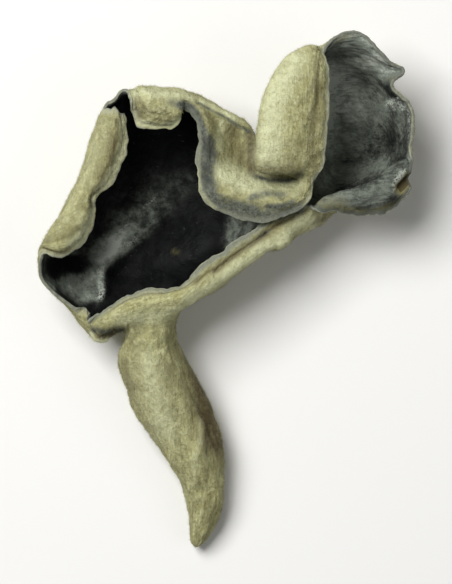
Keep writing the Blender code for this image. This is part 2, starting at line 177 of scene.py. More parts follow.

# Marks seen from above: stains, painted shade and painted highlights. A stroke is (strength,
# reach, points that it follows).
BLOOM_AND_LIGHT_STROKES = [
    (2.6, 0.42, [(-14.6, 0.8), (-14.8, 1.8), (-14.3, 3.6), (-13.1, 4.7), (-12.2, 5.2)]),
    (1.5, 0.5, [(-12.2, 5.2), (-11.2, 5.9)]),
    (0.8, 0.7, [(-11.2, 5.9), (-10.2, 6.8)]),
    (0.5, 1.0, [(-10.0, 7.2), (-8.4, 8.6)]),
    (4.8, 1.1, [(-14.5, 4.6), (-13.6, 5.6), (-13.0, 6.0)]),
    (2.4, 1.0, [(-13.0, 6.0), (-12.2, 6.8)]),
    (1.1, 1.3, [(-12.4, 7.0), (-11.2, 7.7)]),
    (0.45, 1.8, [(-12.6, 8.6), (-10.2, 9.4), (-8.8, 10.0)]),
    (0.4, 2.0, [(-9.6, 11.6), (-7.6, 11.0)]),
    (0.2, 2.6, [(-12.0, 12.0), (-8.5, 13.5), (-5.0, 13.0)]),
    (1.3, 1.3, [(-18.4, 1.2), (-17.0, 0.3), (-16.2, -0.2)]),
    (1.5, 1.2, [(-17.4, 2.2), (-15.6, 2.2)]),
    (1.3, 0.5, [(-21.0, 3.6), (-20.7, 2.0), (-19.9, 0.8)]),
    (0.4, 2.2, [(-18.0, 3.0), (-15.6, 4.6)]),
    (0.75, 1.3, [(1.4, 8.2), (2.6, 7.7), (3.8, 8.4)]),
    (0.6, 1.1, [(0.9, 7.4), (1.0, 6.6)]),
    (1.1, 0.5, [(-21.2, 4.2), (-20.4, 4.7), (-19.2, 4.8), (-17.6, 4.9)]),
    (1.1, 1.9, [(12.8, 28.8), (14.6, 29.6), (17.0, 28.0)]),
    (1.6, 1.9, [(16.6, 27.2), (18.4, 26.4), (20.6, 26.0)]),
    (3.6, 0.9, [(17.2, 27.4), (18.4, 26.8), (19.2, 26.4)]),
    # Partly painted light: the next three strokes make the bloom paler where the lobe beside the
    # small hollow shades it.
    (2.6, 2.2, [(13.6, 25.4), (14.6, 22.8), (15.0, 22.0)]),
    (4.2, 1.8, [(12.4, 25.4), (12.4, 21.6)]),
    (3.2, 1.7, [(12.4, 21.0), (12.6, 17.2)]),
    (1.3, 2.2, [(13.8, 19.6), (15.2, 18.4)]),
    (0.9, 2.0, [(17.4, 24.4), (18.2, 21.6), (17.8, 20.4)]),
    (0.5, 2.0, [(17.6, 19.6), (17.8, 17.4)]),
    # Partly painted light: bloom made paler in the shaded lower left of the cup.
    (2.2, 1.5, [(11.6, 13.0), (12.8, 14.4)]),
    (1.0, 1.5, [(12.8, 14.6), (15.4, 14.4), (18.6, 15.4)]),
    (0.7, 1.1, [(20.2, 22.2), (20.8, 19.4)]),
    (0.45, 1.0, [(20.8, 18.4), (20.6, 16.6)]),
    (0.85, 1.5, [(10.6, 10.7), (13.0, 11.0), (17.0, 11.4), (20.2, 13.4), (21.4, 14.6)]),
]
# Painted shade on the black face: it clears the bloom and keeps the face dark in the pits, gaps and
# hollows under the lobes and the front lip.
SHADE_ON_BLACK_STROKES = [
    (1.0, 1.4, [(-12.6, 2.0), (-11.4, 3.0), (-9.6, 4.0), (-7.6, 5.4)]),
    (1.2, 1.9, [(-10.2, 2.8), (-6.0, 3.4), (-3.4, 4.6)]),
    (0.9, 2.6, [(-8.4, 18.4), (-5.6, 17.0)]),
    (1.0, 1.6, [(-20.0, 3.2), (-19.2, 4.0), (-17.4, 3.4)]),
    (1.4, 1.3, [(-4.6, 5.4), (-2.6, 6.4), (-1.3, 7.6), (-1.6, 9.4), (-3.2, 10.2)]),
    (0.8, 0.8, [(-16.4, -1.8), (-15.6, -1.4)]),
]
FLECK_AND_HIGHLIGHT_STROKES = [
    (1.6, 0.26, [(-14.6, 1.3), (-14.4, 0.4), (-14.7, -0.4)]),
    (1.3, 0.22, [(-14.5, 2.0), (-14.7, 3.0)]),
    (0.7, 0.16, [(-14.0, 4.2), (-12.4, 5.4), (-10.4, 6.6)]),
    (0.5, 0.12, [(-13.4, 6.6), (-11.6, 8.2)]),
    (0.4, 0.12, [(-9.6, 10.4), (-8.2, 11.4)]),
    (1.6, 0.3, [(19.3, 22.5), (20.1, 22.8), (20.8, 23.4)]),
    (1.4, 0.25, [(20.3, 22.4), (20.7, 21.7)]),
    (0.7, 0.3, [(19.6, 24.6), (20.8, 23.2), (21.6, 21.0), (21.7, 18.0), (21.6, 15.8)]),
    (0.6, 0.25, [(12.2, 29.2), (13.4, 30.1), (15.6, 30.2), (17.6, 28.6)]),
    (0.8, 0.14, [(19.6, 22.2), (20.0, 21.6)]),
    # Painted highlight: the pale edge of the curled tip.
    (2.6, 0.28, [(19.8, 12.7), (20.2, 13.4), (20.8, 14.1)]),
]
KHAKI_AND_SHADE_STROKES = [
    (0.55, 0.3, [(10.5, 10.1), (12.0, 10.2), (14.0, 9.9), (17.0, 9.4), (19.5, 10.1), (21.5, 11.2)]),
    (0.35, 0.25, [(-6.0, 5.1), (-5.5, 4.9)]),
    (0.5, 0.9, [(11.0, 10.4), (13.4, 10.2)]),
    # Painted shade in the notch and in the curled tip's dent, over a dark brown.
    (0.9, 0.3, [(19.4, 25.0), (20.2, 24.6), (20.0, 23.9)]),
    (2.8, 0.55, [(20.5, 12.5), (21.4, 13.5)]),
    (0.5, 0.5, [(13.0, 29.6), (14.6, 30.4)]),
]
GREY_STROKES = [
    (1.1, 0.6, [(-4.9, 21.9), (-3.8, 21.5), (-2.9, 20.3), (-2.4, 19.0), (-2.2, 18.0)]),
    (1.1, 1.1, [(-2.0, 17.6), (-1.9, 15.5), (-2.1, 13.2), (-1.7, 12.0)]),
    (1.0, 1.0, [(-1.7, 11.6), (-0.6, 10.5), (1.6, 9.9), (4.0, 9.4)]),
    (0.9, 0.7, [(4.0, 9.3), (6.6, 9.3), (8.8, 10.0)]),
    (0.6, 0.7, [(-6.0, 22.2), (-4.8, 21.8)]),
    (0.7, 0.6, [(3.2, 11.2), (5.0, 11.6), (6.8, 11.4)]),
    # Painted shade: the dark line under the back lip's thin edge.
    (0.8, 0.22, [(-3.0, 22.2), (-0.3, 20.8), (1.6, 19.6), (3.0, 18.9)]),
    (0.8, 0.5, [(5.0, 10.1), (6.6, 10.1), (7.8, 10.6)]),
    (0.35, 0.6, [(7.6, 11.6), (9.0, 12.0)]),
    (0.6, 0.4, [(-15.4, -3.1), (-14.0, -2.0), (-12.5, -1.0)]),
    (0.5, 0.5, [(0.4, 5.0), (3.0, 6.4), (5.2, 7.4)]),
]
# Painted shade: the back lip's dented hollow, the crease over the front underfold, the line under
# the tongue's base and the slit at the bean's top end.
PAINTED_SHADE_STROKES = [
    (0.8, 0.8, [(-2.0, 17.4), (-1.6, 16.2)]),
    (0.9, 0.7, [(-2.2, 14.6), (-2.0, 13.2)]),
    (0.6, 0.5, [(-4.2, 21.6), (-3.0, 20.2)]),
    (1.0, 0.35, [(-15.2, -4.2), (-13.6, -4.4), (-12.0, -4.1)]),
    (0.9, 0.35, [(3.7, 13.7), (5.2, 13.3), (7.4, 13.2), (8.8, 13.8)]),
    (0.5, 0.4, [(-13.2, 21.6), (-11.6, 23.2)]),
]
# Brown, mostly painted shade: the valley beside the tongue and the gap under its left edge, the
# flap's left part, the stem's right side, the tongue's base and right side, the crevice under the
# everted band, the front band's groove and underfold, and the bean's groove. The two small marks on
# the stem's left half are its own brown.
BROWN_AND_SHADE_STROKES = [
    (0.45, 1.1, [(0.6, 19.6), (1.4, 17.2), (2.2, 15.4)]),
    (1.1, 0.6, [(3.1, 18.6), (3.2, 16.4), (3.1, 13.8)]),
    (0.7, 0.9, [(-10.7, 22.6), (-10.2, 20.6)]),
    (0.6, 1.1, [(-4.4, -6.0), (-3.8, -9.0), (-2.4, -12.0), (-1.2, -16.0)]),
    (0.45, 1.0, [(4.6, 14.2), (6.4, 14.0), (8.2, 14.4)]),
    (0.35, 0.4, [(10.1, 16.0), (10.5, 20.0), (10.8, 23.6), (10.6, 26.6)]),
    (0.8, 0.6, [(10.6, 8.4), (13.0, 8.6), (15.0, 8.6)]),
    (0.9, 1.9, [(-3.0, -9.4), (-2.2, -12.4), (-1.6, -15.6), (-0.8, -17.6)]),
    (1.0, 0.35, [(-1.0, 2.6), (1.0, 4.3), (3.0, 5.6), (5.0, 6.9)]),
    (0.9, 0.7, [(-14.9, -4.9), (-13.4, -4.9), (-12.0, -4.4)]),
    (0.4, 1.0, [(-11.8, -8.2), (-10.8, -11.0)]),
    (0.3, 0.7, [(-12.7, 18.8), (-13.2, 16.2), (-14.4, 13.8)]),
    (0.9, 0.24, [(-12.4, 20.2), (-12.3, 18.4), (-13.0, 15.6), (-14.7, 12.0)]),
    (0.4, 0.5, [(-6.4, -14.2), (-5.8, -13.4)]),
]
# Pale, mostly painted highlight: the back lip's crest, the lit left sides of the stem and the
# tongue, the bean's top, the front band and streaks on the back lip; the rest are partly the
# margins' own pale rims.
PALE_AND_HIGHLIGHT_STROKES = [
    (1.0, 1.2, [(0.0, 14.2), (2.0, 12.9), (4.6, 12.5)]),
    (0.6, 0.8, [(4.6, 12.5), (8.4, 12.7)]),
    (0.5, 1.5, [(-8.8, -8.0), (-8.0, -12.0), (-6.8, -16.0)]),
    (0.8, 1.6, [(5.0, 16.4), (5.4, 22.0), (8.0, 27.0)]),
    (0.5, 0.9, [(8.0, 7.5), (12.0, 8.0), (17.0, 9.1)]),
    (0.35, 0.25, [(-2.8, -15.0), (-2.8, -17.4), (-3.6, -19.4), (-3.4, -22.0)]),
    (1.0, 0.22, [(-15.6, -4.4), (-15.1, -5.5), (-14.0, -5.6), (-11.6, -4.6)]),
    (0.2, 0.9, [(-13.6, 20.0), (-14.8, 16.6), (-16.6, 12.4), (-18.4, 9.0)]),
    (0.9, 0.4, [(-11.7, 20.0), (-11.6, 17.8), (-12.3, 15.4), (-13.5, 13.2), (-14.9, 11.2)]),
    (1.1, 0.45, [(-15.1, 9.6), (-15.6, 8.2), (-16.4, 7.0), (-17.6, 5.6)]),
    (0.7, 0.8, [(-10.2, 23.2), (-7.6, 23.3), (-5.2, 22.9)]),
    (0.7, 0.45, [(-5.2, 23.2), (-3.4, 22.6), (-1.0, 21.5), (1.4, 20.3)]),
    (0.8, 0.4, [(-0.4, 20.0), (-0.6, 18.4), (-0.4, 16.8)]),
    (0.8, 0.7, [(7.2, 7.0), (8.8, 8.4), (10.0, 8.8)]),
    (0.9, 0.4, [(-9.8, 19.9), (-8.0, 19.4), (-6.2, 19.4), (-5.2, 20.2)]),
    (0.15, 1.2, [(-9.5, 21.6), (-6.0, 21.4)]),
    (0.8, 0.8, [(-4.0, -0.8), (-1.8, 0.4), (1.0, 2.7), (3.0, 4.3), (5.0, 5.6), (7.0, 6.4)]),
    (0.5, 0.7, [(-12.0, -3.0), (-8.0, -2.6), (-5.0, -1.8)]),
    (0.5, 0.4, [(-3.2, 14.6), (-2.7, 11.8), (-1.0, 9.9)]),
]
# The attribute that holds each mark, and the face that it is on. Marks fade on a face that looks
# less up than LEAST_UP + UP_FADE, where 1 is straight up and 0 is sideways.
STAINS_AND_PAINTED_LIGHT = [
    ("bloom_and_light", "black", BLOOM_AND_LIGHT_STROKES),
    ("shade_on_black", "black", SHADE_ON_BLACK_STROKES),
    ("fleck_and_highlight", "black", FLECK_AND_HIGHLIGHT_STROKES),
    ("khaki_and_shade", "black", KHAKI_AND_SHADE_STROKES),
    ("grey", "khaki", GREY_STROKES),
    ("painted_shade", "khaki", PAINTED_SHADE_STROKES),
    ("brown_and_shade", "khaki", BROWN_AND_SHADE_STROKES),
    ("pale", "khaki", PALE_AND_HIGHLIGHT_STROKES),
]
LEAST_UP = -0.15
UP_FADE = 0.4

# The studio, in metres: (name, place, width, watts) of each lamp, aimed at one point.
LAMPS = [
    ("key", (-0.17, 0.15, 0.38), 0.24, 2.3),
    ("fill", (0.30, -0.10, 0.30), 0.30, 0.25),
]
AIM = (0.0, 0.0, 0.006)
SKY_COLOR = (0.95, 0.97, 1.0)
SKY_STRENGTH = 0.13
FLOOR_WIDTH = 3.0
FLOOR_ROUGHNESS = 0.9
CAMERA_HEIGHT = 0.42
CAMERA_NEAREST = 0.01
VIEW_HEIGHT = 0.0695
SENSOR_MM = 24.0

# Lines that run left to right along the sheet, from its front margin over the floor to its back
# margin. Each point is (station, x, y, z), and the same station on two lines faces each other.
FRONT_LIP = [
    (0, -15.8, -3.2, 9.6), (1, -14.9, -2.6, 10.8), (2, -13.8, -1.8, 11.5), (3, -12.5, -0.9, 11.9),
    (4, -11.0, -0.1, 12.0), (5.5, -8.6, 0.45, 12.1), (7, -6.0, 0.7, 12.0), (8, -4.6, 1.2, 12.0),
    (9, -3.4, 2.3, 12.0), (10, -2.2, 3.5, 12.0), (11.5, 0.0, 5.1, 12.0), (13, 2.0, 6.4, 11.8),
    (14, 3.4, 7.5, 11.5), (15, 4.8, 8.4, 11.2), (16, 6.3, 9.2, 11.0), (17, 7.8, 9.9, 10.9),
    (18, 9.1, 10.4, 11.1), (18.6, 10.1, 10.1, 11.3), (19, 10.9, 9.7, 11.4), (20, 12.8, 9.65, 11.0),
    (21, 15.0, 9.5, 10.3), (22, 17.0, 9.4, 10.1), (23, 18.7, 9.7, 10.0), (24, 20.0, 10.3, 10.0),
    (25, 21.0, 11.2, 10.1), (26, 21.7, 12.2, 10.2), (27, 21.8, 13.4, 10.3),
]
FRONT_ROLL = [
    (0, -16.0, -1.9, 7.6), (1, -15.4, -4.0, 9.2), (2, -14.4, -4.3, 10.2), (3, -12.9, -3.2, 11.8),
    (4, -11.3, -2.1, 12.4), (5.5, -8.8, -1.2, 12.6), (7, -6.1, -0.7, 12.6), (8, -4.5, -0.2, 12.6),
    (9, -3.0, 0.8, 12.5), (10, -1.6, 2.0, 12.4), (11.5, 0.7, 3.6, 12.4), (13, 2.9, 5.0, 12.1),
    (14, 4.2, 6.0, 11.9), (15, 5.5, 6.8, 11.6), (16, 6.9, 7.4, 11.2), (17, 8.2, 8.0, 10.7),
    (18, 9.6, 8.7, 10.2), (18.6, 10.6, 9.9, 10.5), (19, 11.3, 10.8, 11.4), (20, 13.0, 11.5, 11.8),
    (21, 15.0, 12.1, 11.9), (22, 17.0, 12.8, 11.8), (23, 18.5, 13.8, 11.6), (24, 19.7, 14.7, 11.4),
    (25, 20.6, 15.2, 11.1), (26, 21.2, 15.4, 10.7), (27, 21.8, 15.6, 10.5),
]
FRONT_SIDE = [
    (0, -17.3, -1.6, 8.4), (1, -16.6, -3.2, 6.6), (2, -14.7, -5.7, 6.4), (3, -12.9, -4.6, 7.2),
    (4, -11.3, -3.9, 9.0), (5.5, -8.8, -2.6, 9.4), (7, -6.2, -1.7, 9.2), (8, -4.4, -0.9, 9.0),
    (9, -2.6, -0.1, 8.8), (10, -0.9, 0.8, 8.6), (11.5, 1.4, 2.6, 8.4), (13, 3.5, 4.5, 8.2),
    (14, 4.8, 5.3, 8.2), (15, 6.2, 5.5, 8.2), (16, 7.6, 6.5, 8.4), (17, 9.0, 7.4, 8.4),
    (18, 10.4, 7.8, 7.8), (19, 12.0, 8.9, 6.6), (20, 13.6, 10.3, 6.6), (21, 15.4, 11.2, 6.8),
    (22, 17.2, 12.1, 7.0), (23, 18.8, 13.3, 7.4), (24, 20.0, 14.5, 8.0), (25, 20.9, 15.5, 8.7),
    (26, 21.5, 16.1, 9.4), (27, 21.8, 16.9, 10.3),
]
FRONT_FOOT = [
    (0, -19.6, 0.0, 9.0), (1, -18.6, -0.8, 6.6), (2, -16.4, -3.0, 4.6), (3, -13.6, -3.2, 4.2),
    (4, -11.5, -2.6, 4.4), (5.5, -8.8, -1.6, 4.4), (7, -6.2, -0.4, 4.2), (8.5, -3.4, 0.9, 4.0),
    (10, -0.6, 2.6, 4.0), (12, 2.6, 5.0, 4.4), (14, 5.4, 7.2, 5.2), (16, 8.0, 8.2, 6.0),
    (18, 10.4, 9.6, 5.4), (20, 13.6, 11.0, 3.6), (22, 17.2, 12.8, 3.6), (24, 19.8, 15.0, 4.8),
    (26, 21.3, 17.2, 8.0), (27, 21.9, 18.2, 10.6),
]
FLOOR_FRONT = [
    (0, -21.4, 2.4, 9.8), (1, -20.9, 1.8, 7.6), (2, -19.2, 0.6, 4.2), (3, -16.2, 1.0, 1.8),
    (4, -13.6, 1.4, 0.8), (6, -9.6, 2.4, 0.1), (8, -5.6, 3.6, 0.0), (10, -1.6, 5.2, 0.3),
    (12, 2.0, 7.2, 1.6), (14, 5.0, 8.8, 3.4), (16, 7.6, 9.8, 4.6), (18, 10.2, 11.2, 3.8),
    (20, 13.6, 13.6, 0.3), (22, 17.0, 16.0, 0.6), (24, 19.6, 18.0, 3.0), (26, 21.4, 19.4, 8.0),
    (27, 21.9, 19.8, 11.0),
]
FLOOR_BACK = [
    (0, -20.8, 4.5, 12.0), (1, -21.2, 5.0, 11.2), (2, -21.0, 5.4, 8.4), (3, -19.2, 5.8, 3.6),
    (4, -14.6, 6.4, 0.9), (6, -9.8, 7.6, 0.0), (8, -6.0, 9.0, 0.0), (10, -2.4, 9.8, 0.1),
    (12, 1.0, 10.6, 1.6), (14, 4.2, 11.2, 3.6), (16, 7.2, 11.4, 5.0), (18, 9.8, 12.4, 4.6),
    (19, 11.2, 14.2, 2.6), (20, 12.4, 16.0, 0.1), (22, 15.8, 19.4, 0.4), (24, 18.6, 21.4, 3.4),
    (26, 20.6, 22.2, 8.2), (27, 21.3, 22.3, 11.3),
]
BACK_FOOT = [
    (0, -18.4, 4.5, 11.4), (1, -19.2, 6.4, 13.0), (2, -20.0, 7.4, 9.6), (3, -18.6, 8.2, 3.6),
    (4, -14.4, 9.6, 0.9), (5, -11.8, 11.2, 0.6), (6, -9.9, 12.2, 0.4), (8, -6.6, 13.8, 0.4),
    (10, -3.6, 14.6, 0.9), (12, -0.8, 14.8, 2.0), (14, 2.6, 13.2, 3.9), (16, 6.6, 12.2, 6.0),
    (18, 9.2, 13.2, 6.2), (19, 10.0, 15.6, 3.6), (20, 10.6, 17.8, 1.8), (21, 11.7, 19.8, 1.4),
    (22, 13.4, 22.0, 1.6), (23, 15.0, 23.6, 2.4), (24, 16.8, 24.8, 3.8), (25, 18.4, 24.9, 6.0),
    (26, 19.2, 24.6, 8.6), (27, 19.6, 24.3, 11.4),
]
BACK_SIDE = [
    (0, -15.9, 6.6, 10.8), (1, -17.2, 8.4, 13.0), (2, -18.8, 9.6, 9.6), (3, -17.8, 10.6, 3.8),
    (4, -14.2, 12.4, 1.2), (5, -11.6, 17.0, 2.8), (6, -9.9, 20.0, 3.4), (7, -8.6, 20.8, 3.6),
    (8, -7.0, 21.0, 3.8), (9, -5.4, 20.6, 4.0), (10, -3.9, 21.6, 5.6), (11, -2.5, 21.4, 6.2),
    (12, -0.9, 20.8, 6.8), (13, 0.8, 19.9, 6.8), (14, 2.6, 18.0, 6.8), (15, 3.8, 15.4, 7.0),
    (16, 5.2, 13.4, 7.4), (17, 7.2, 13.0, 7.8), (18, 8.8, 13.8, 8.0), (19, 8.4, 16.2, 7.0),
    (20, 8.2, 18.4, 6.4), (21, 8.4, 20.8, 6.2), (22, 9.2, 23.8, 6.4), (23, 10.6, 26.2, 6.8),
    (24, 12.6, 27.6, 7.2), (25, 15.4, 27.4, 7.6), (26, 18.4, 26.8, 9.4), (27, 20.9, 26.0, 12.0),
]
BACK_RIDGE = [
    (0, -14.8, 10.4, 10.8), (1, -15.9, 11.6, 12.6), (2, -17.2, 12.2, 9.6), (3, -16.8, 13.4, 4.4),
    (4, -14.0, 15.4, 2.0), (5, -11.7, 20.6, 5.6), (6, -9.9, 23.5, 10.4), (7, -8.8, 24.1, 11.4),
    (8, -7.0, 23.9, 11.3), (9, -5.0, 23.6, 11.3), (10, -3.8, 23.2, 11.5), (11, -2.2, 22.4, 11.8),
    (12, -0.2, 21.4, 11.8), (13, 1.3, 20.6, 11.8), (14, 3.1, 19.3, 11.0), (15, 4.3, 16.9, 9.8),
    (16, 5.2, 14.4, 9.3), (17, 7.2, 13.6, 9.6), (18, 8.6, 14.2, 9.9), (19, 5.2, 15.6, 10.6),
    (20, 5.4, 18.0, 10.6), (21, 5.4, 20.6, 10.8), (22, 6.2, 23.8, 10.8), (23, 8.0, 26.6, 10.6),
    (24, 10.6, 28.3, 10.2), (25, 13.6, 28.8, 9.7), (26, 16.8, 28.4, 10.8), (27, 19.3, 26.9, 12.2),
]
BACK_HOLLOW = [
    (0, -13.0, 13.2, 11.0), (1, -14.5, 14.6, 12.8), (2, -15.8, 15.2, 9.6), (3, -15.8, 16.4, 5.2),
    (4, -13.8, 18.2, 3.4), (5, -11.8, 21.9, 8.2), (6, -9.9, 23.9, 12.4), (7, -9.1, 23.0, 14.2),
    (8, -7.0, 22.9, 14.2), (9, -5.1, 22.7, 13.8), (10, -4.2, 22.7, 13.2), (11, -2.4, 21.7, 12.3),
    (12, -0.8, 19.6, 10.9), (13, 0.6, 17.8, 9.9), (14, 1.9, 16.2, 9.6), (15, 2.8, 14.4, 10.0),
    (16, 4.6, 12.7, 10.7), (17, 7.2, 12.4, 10.9), (18, 8.9, 13.3, 11.2), (18.5, 7.0, 14.4, 11.4),
    (19, 3.9, 13.9, 13.6), (20, 3.9, 16.6, 15.2), (21, 4.3, 20.3, 15.6), (22, 5.3, 24.0, 15.5),
    (23, 7.2, 27.2, 14.6), (24, 9.6, 28.6, 12.6), (24.5, 11.3, 28.2, 11.9), (25, 12.6, 29.2, 11.2),
    (26, 15.6, 29.4, 11.6), (27, 17.8, 28.4, 12.4),
]
BACK_ROLL = [
    (0, -11.3, 17.4, 11.2), (1, -13.3, 18.2, 13.0), (2, -15.1, 18.6, 9.8), (3, -14.9, 19.4, 6.4),
    (4, -13.6, 20.6, 5.8), (5, -11.7, 22.8, 10.4), (6, -10.1, 23.4, 13.7), (7, -9.6, 21.3, 14.5),
    (8, -7.2, 21.0, 14.4), (9, -5.2, 21.2, 14.0), (10, -4.6, 22.2, 13.3), (11, -2.7, 21.0, 12.9),
    (12, -1.7, 18.6, 13.1), (13, -1.7, 15.4, 13.3), (14, -0.7, 12.4, 13.7), (15, 1.2, 11.8, 13.9),
    (16, 4.0, 11.3, 13.8), (17, 6.9, 11.0, 13.4), (18, 9.4, 12.5, 13.1), (18.5, 9.4, 14.2, 12.7),
    (19, 7.6, 13.9, 14.1), (20, 8.4, 16.8, 15.4), (21, 9.0, 20.2, 15.6), (22, 9.6, 23.8, 15.5),
    (23, 10.1, 26.9, 14.8), (24, 10.3, 28.7, 13.6), (24.5, 11.2, 28.0, 12.8), (25, 12.2, 29.2, 12.2),
    (26, 14.7, 30.0, 12.0), (27, 16.5, 29.8, 12.3),
]
BACK_LIP = [
    (0, -11.6, 20.9, 11.6), (1, -12.7, 21.5, 12.8), (2, -13.9, 21.4, 10.6), (3, -13.5, 22.2, 10.2),
    (4, -12.6, 22.8, 11.4), (5, -11.5, 23.5, 12.3), (6, -10.6, 22.4, 14.2), (7, -10.0, 19.5, 12.8),
    (8, -7.6, 19.3, 12.6), (9, -5.4, 19.7, 12.6), (10, -4.9, 21.6, 12.9), (11, -3.3, 20.6, 12.6),
    (12, -2.9, 18.2, 12.2), (13, -3.2, 14.8, 12.2), (14, -2.4, 11.3, 12.4), (15, -0.2, 9.7, 12.6),
    (16, 3.2, 8.6, 12.7), (17, 6.5, 8.9, 12.7), (18, 10.0, 11.1, 12.4), (18.5, 10.2, 13.2, 12.4),
    (19, 11.3, 14.6, 12.8), (20, 11.7, 17.4, 13.3), (21, 11.9, 20.4, 13.7), (22, 12.0, 24.0, 13.8),
    (23, 11.7, 26.8, 13.7), (24, 11.2, 27.9, 13.4), (24.5, 11.4, 27.8, 13.1), (25, 11.9, 28.9, 12.9),
    (26, 13.6, 30.2, 12.4), (27, 15.2, 30.5, 12.4),
]
LINES = (
    FRONT_LIP, FRONT_ROLL, FRONT_SIDE, FRONT_FOOT, FLOOR_FRONT, FLOOR_BACK,
    BACK_FOOT, BACK_SIDE, BACK_RIDGE, BACK_HOLLOW, BACK_ROLL, BACK_LIP,
)

# The stem opens from the front wall between these stations and these lines, and narrows to its
# toe. Each section across it is (y, left x, right x, bottom z, top z).
STEM_STATIONS = (4.0, 7.5)
STEM_LINES = (4 / 3, 3.5)
STEM_SECTIONS = [
    (-5.0, -11.2, -6.0, 3.2, 10.0), (-7.6, -12.7, -4.7, 2.0, 9.6), (-10.6, -11.5, -3.0, 1.0, 9.0),
    (-14.0, -10.6, -1.4, 0.3, 8.0), (-18.0, -7.7, -0.3, 0.0, 6.8), (-21.8, -5.0, -0.3, 0.0, 5.6),
    (-25.2, -4.1, -0.3, 0.1, 4.4), (-28.0, -3.9, -1.6, 0.6, 3.4), (-29.8, -3.7, -2.8, 1.2, 2.3),
]

# Small folds: (rise towards the black face, reach, points that the fold follows).
FOLDS = [
    (1.0, 1.3, [(-14.9, 0.4, 2.2), (-14.4, 3.4, 1.5), (-12.2, 6.8, 0.8), (-8.4, 9.4, 0.5)]),
    (0.6, 1.0, [(-14.4, 11.0, 11.0), (-16.4, 11.6, 12.7)]),
    (0.4, 0.8, [(-1.2, 17.6, 13.0), (-1.4, 15.8, 13.2), (-1.2, 13.6, 13.4)]),
    (0.5, 1.3, [(-10.4, 20.6, 14.2), (-9.4, 20.4, 14.4)]),
    (-0.6, 1.8, [(-8.4, -5.0, 10.2), (-7.9, -10.0, 9.2), (-6.9, -15.0, 7.8), (-4.9, -19.0, 6.5)]),
    (0.9, 1.5, [(-3.9, -8.4, 8.4), (-2.7, -11.6, 7.6), (-1.6, -15.0, 6.2)]),
    (-0.5, 0.8, [(-2.6, -15.6, 7.2), (-3.2, -18.6, 6.6), (-3.0, -22.0, 5.5)]),
    (-0.5, 0.9, [(6.6, 4.8, 8.3), (6.9, 6.2, 10.6), (6.6, 7.4, 11.3)]),
]


def curve_through(keys, points, wanted):
    """Smooth curve that passes through the points at their keys, read at the wanted keys."""
    step = np.diff(keys)[:, None]
    slope = np.diff(points, axis=0) / step
    inner = (slope[:-1] * step[1:] + slope[1:] * step[:-1]) / (step[:-1] + step[1:])
    tangent = np.vstack([slope[:1], inner, slope[-1:]])
    gap = np.clip(np.searchsorted(keys, wanted, side="right") - 1, 0, len(keys) - 2)
    t = (wanted - keys[gap])[:, None] / step[gap]
    leave, arrive = tangent[gap] * step[gap], tangent[gap + 1] * step[gap]
    return (
        points[gap] * (1 + 2 * t) * (1 - t) ** 2 + leave * t * (1 - t) ** 2
        + points[gap + 1] * t**2 * (3 - 2 * t) - arrive * t**2 * (1 - t)
    )


def keys_by_distance(points):
    """Keys for points along a curve: the running sum of the square roots of their distances."""
    distance = np.linalg.norm(np.diff(points, axis=0), axis=1)
    return np.concatenate([[0.0], np.cumsum(np.sqrt(distance))])


def nearest(values, wanted):
    return int(np.argmin(np.abs(values - wanted)))


def unit(vectors):
    return vectors / np.linalg.norm(vectors, axis=-1, keepdims=True)


def sheet_points():
    """Points of the open sheet [column, row, xyz], station of each column, line of each row."""
    last_station = FRONT_LIP[-1][0]
    stations = np.linspace(0, last_station, last_station * COLUMNS_PER_STATION + 1)
    rows = [line + np.arange(count) / count for line, count in enumerate(ROWS_BETWEEN_LINES)]
    rows = np.concatenate(rows + [[len(LINES) - 1]])
    lines = []
    for line in LINES:
        table = np.array(line)
        lines.append(curve_through(table[:, 0], table[:, 1:], stations))
    columns = []
    for across in np.array(lines).transpose(1, 0, 2):
        keys = keys_by_distance(across)
        columns.append(curve_through(keys, across, np.interp(rows, np.arange(len(LINES)), keys)))
    return np.array(columns), stations, rows


def running_length(points, axis):
    """Length along the grid's columns or rows, from their first point to each point."""
    step = np.diff(points, axis=axis, prepend=np.take(points, [0], axis=axis))
    return np.cumsum(np.linalg.norm(step, axis=2), axis=axis)


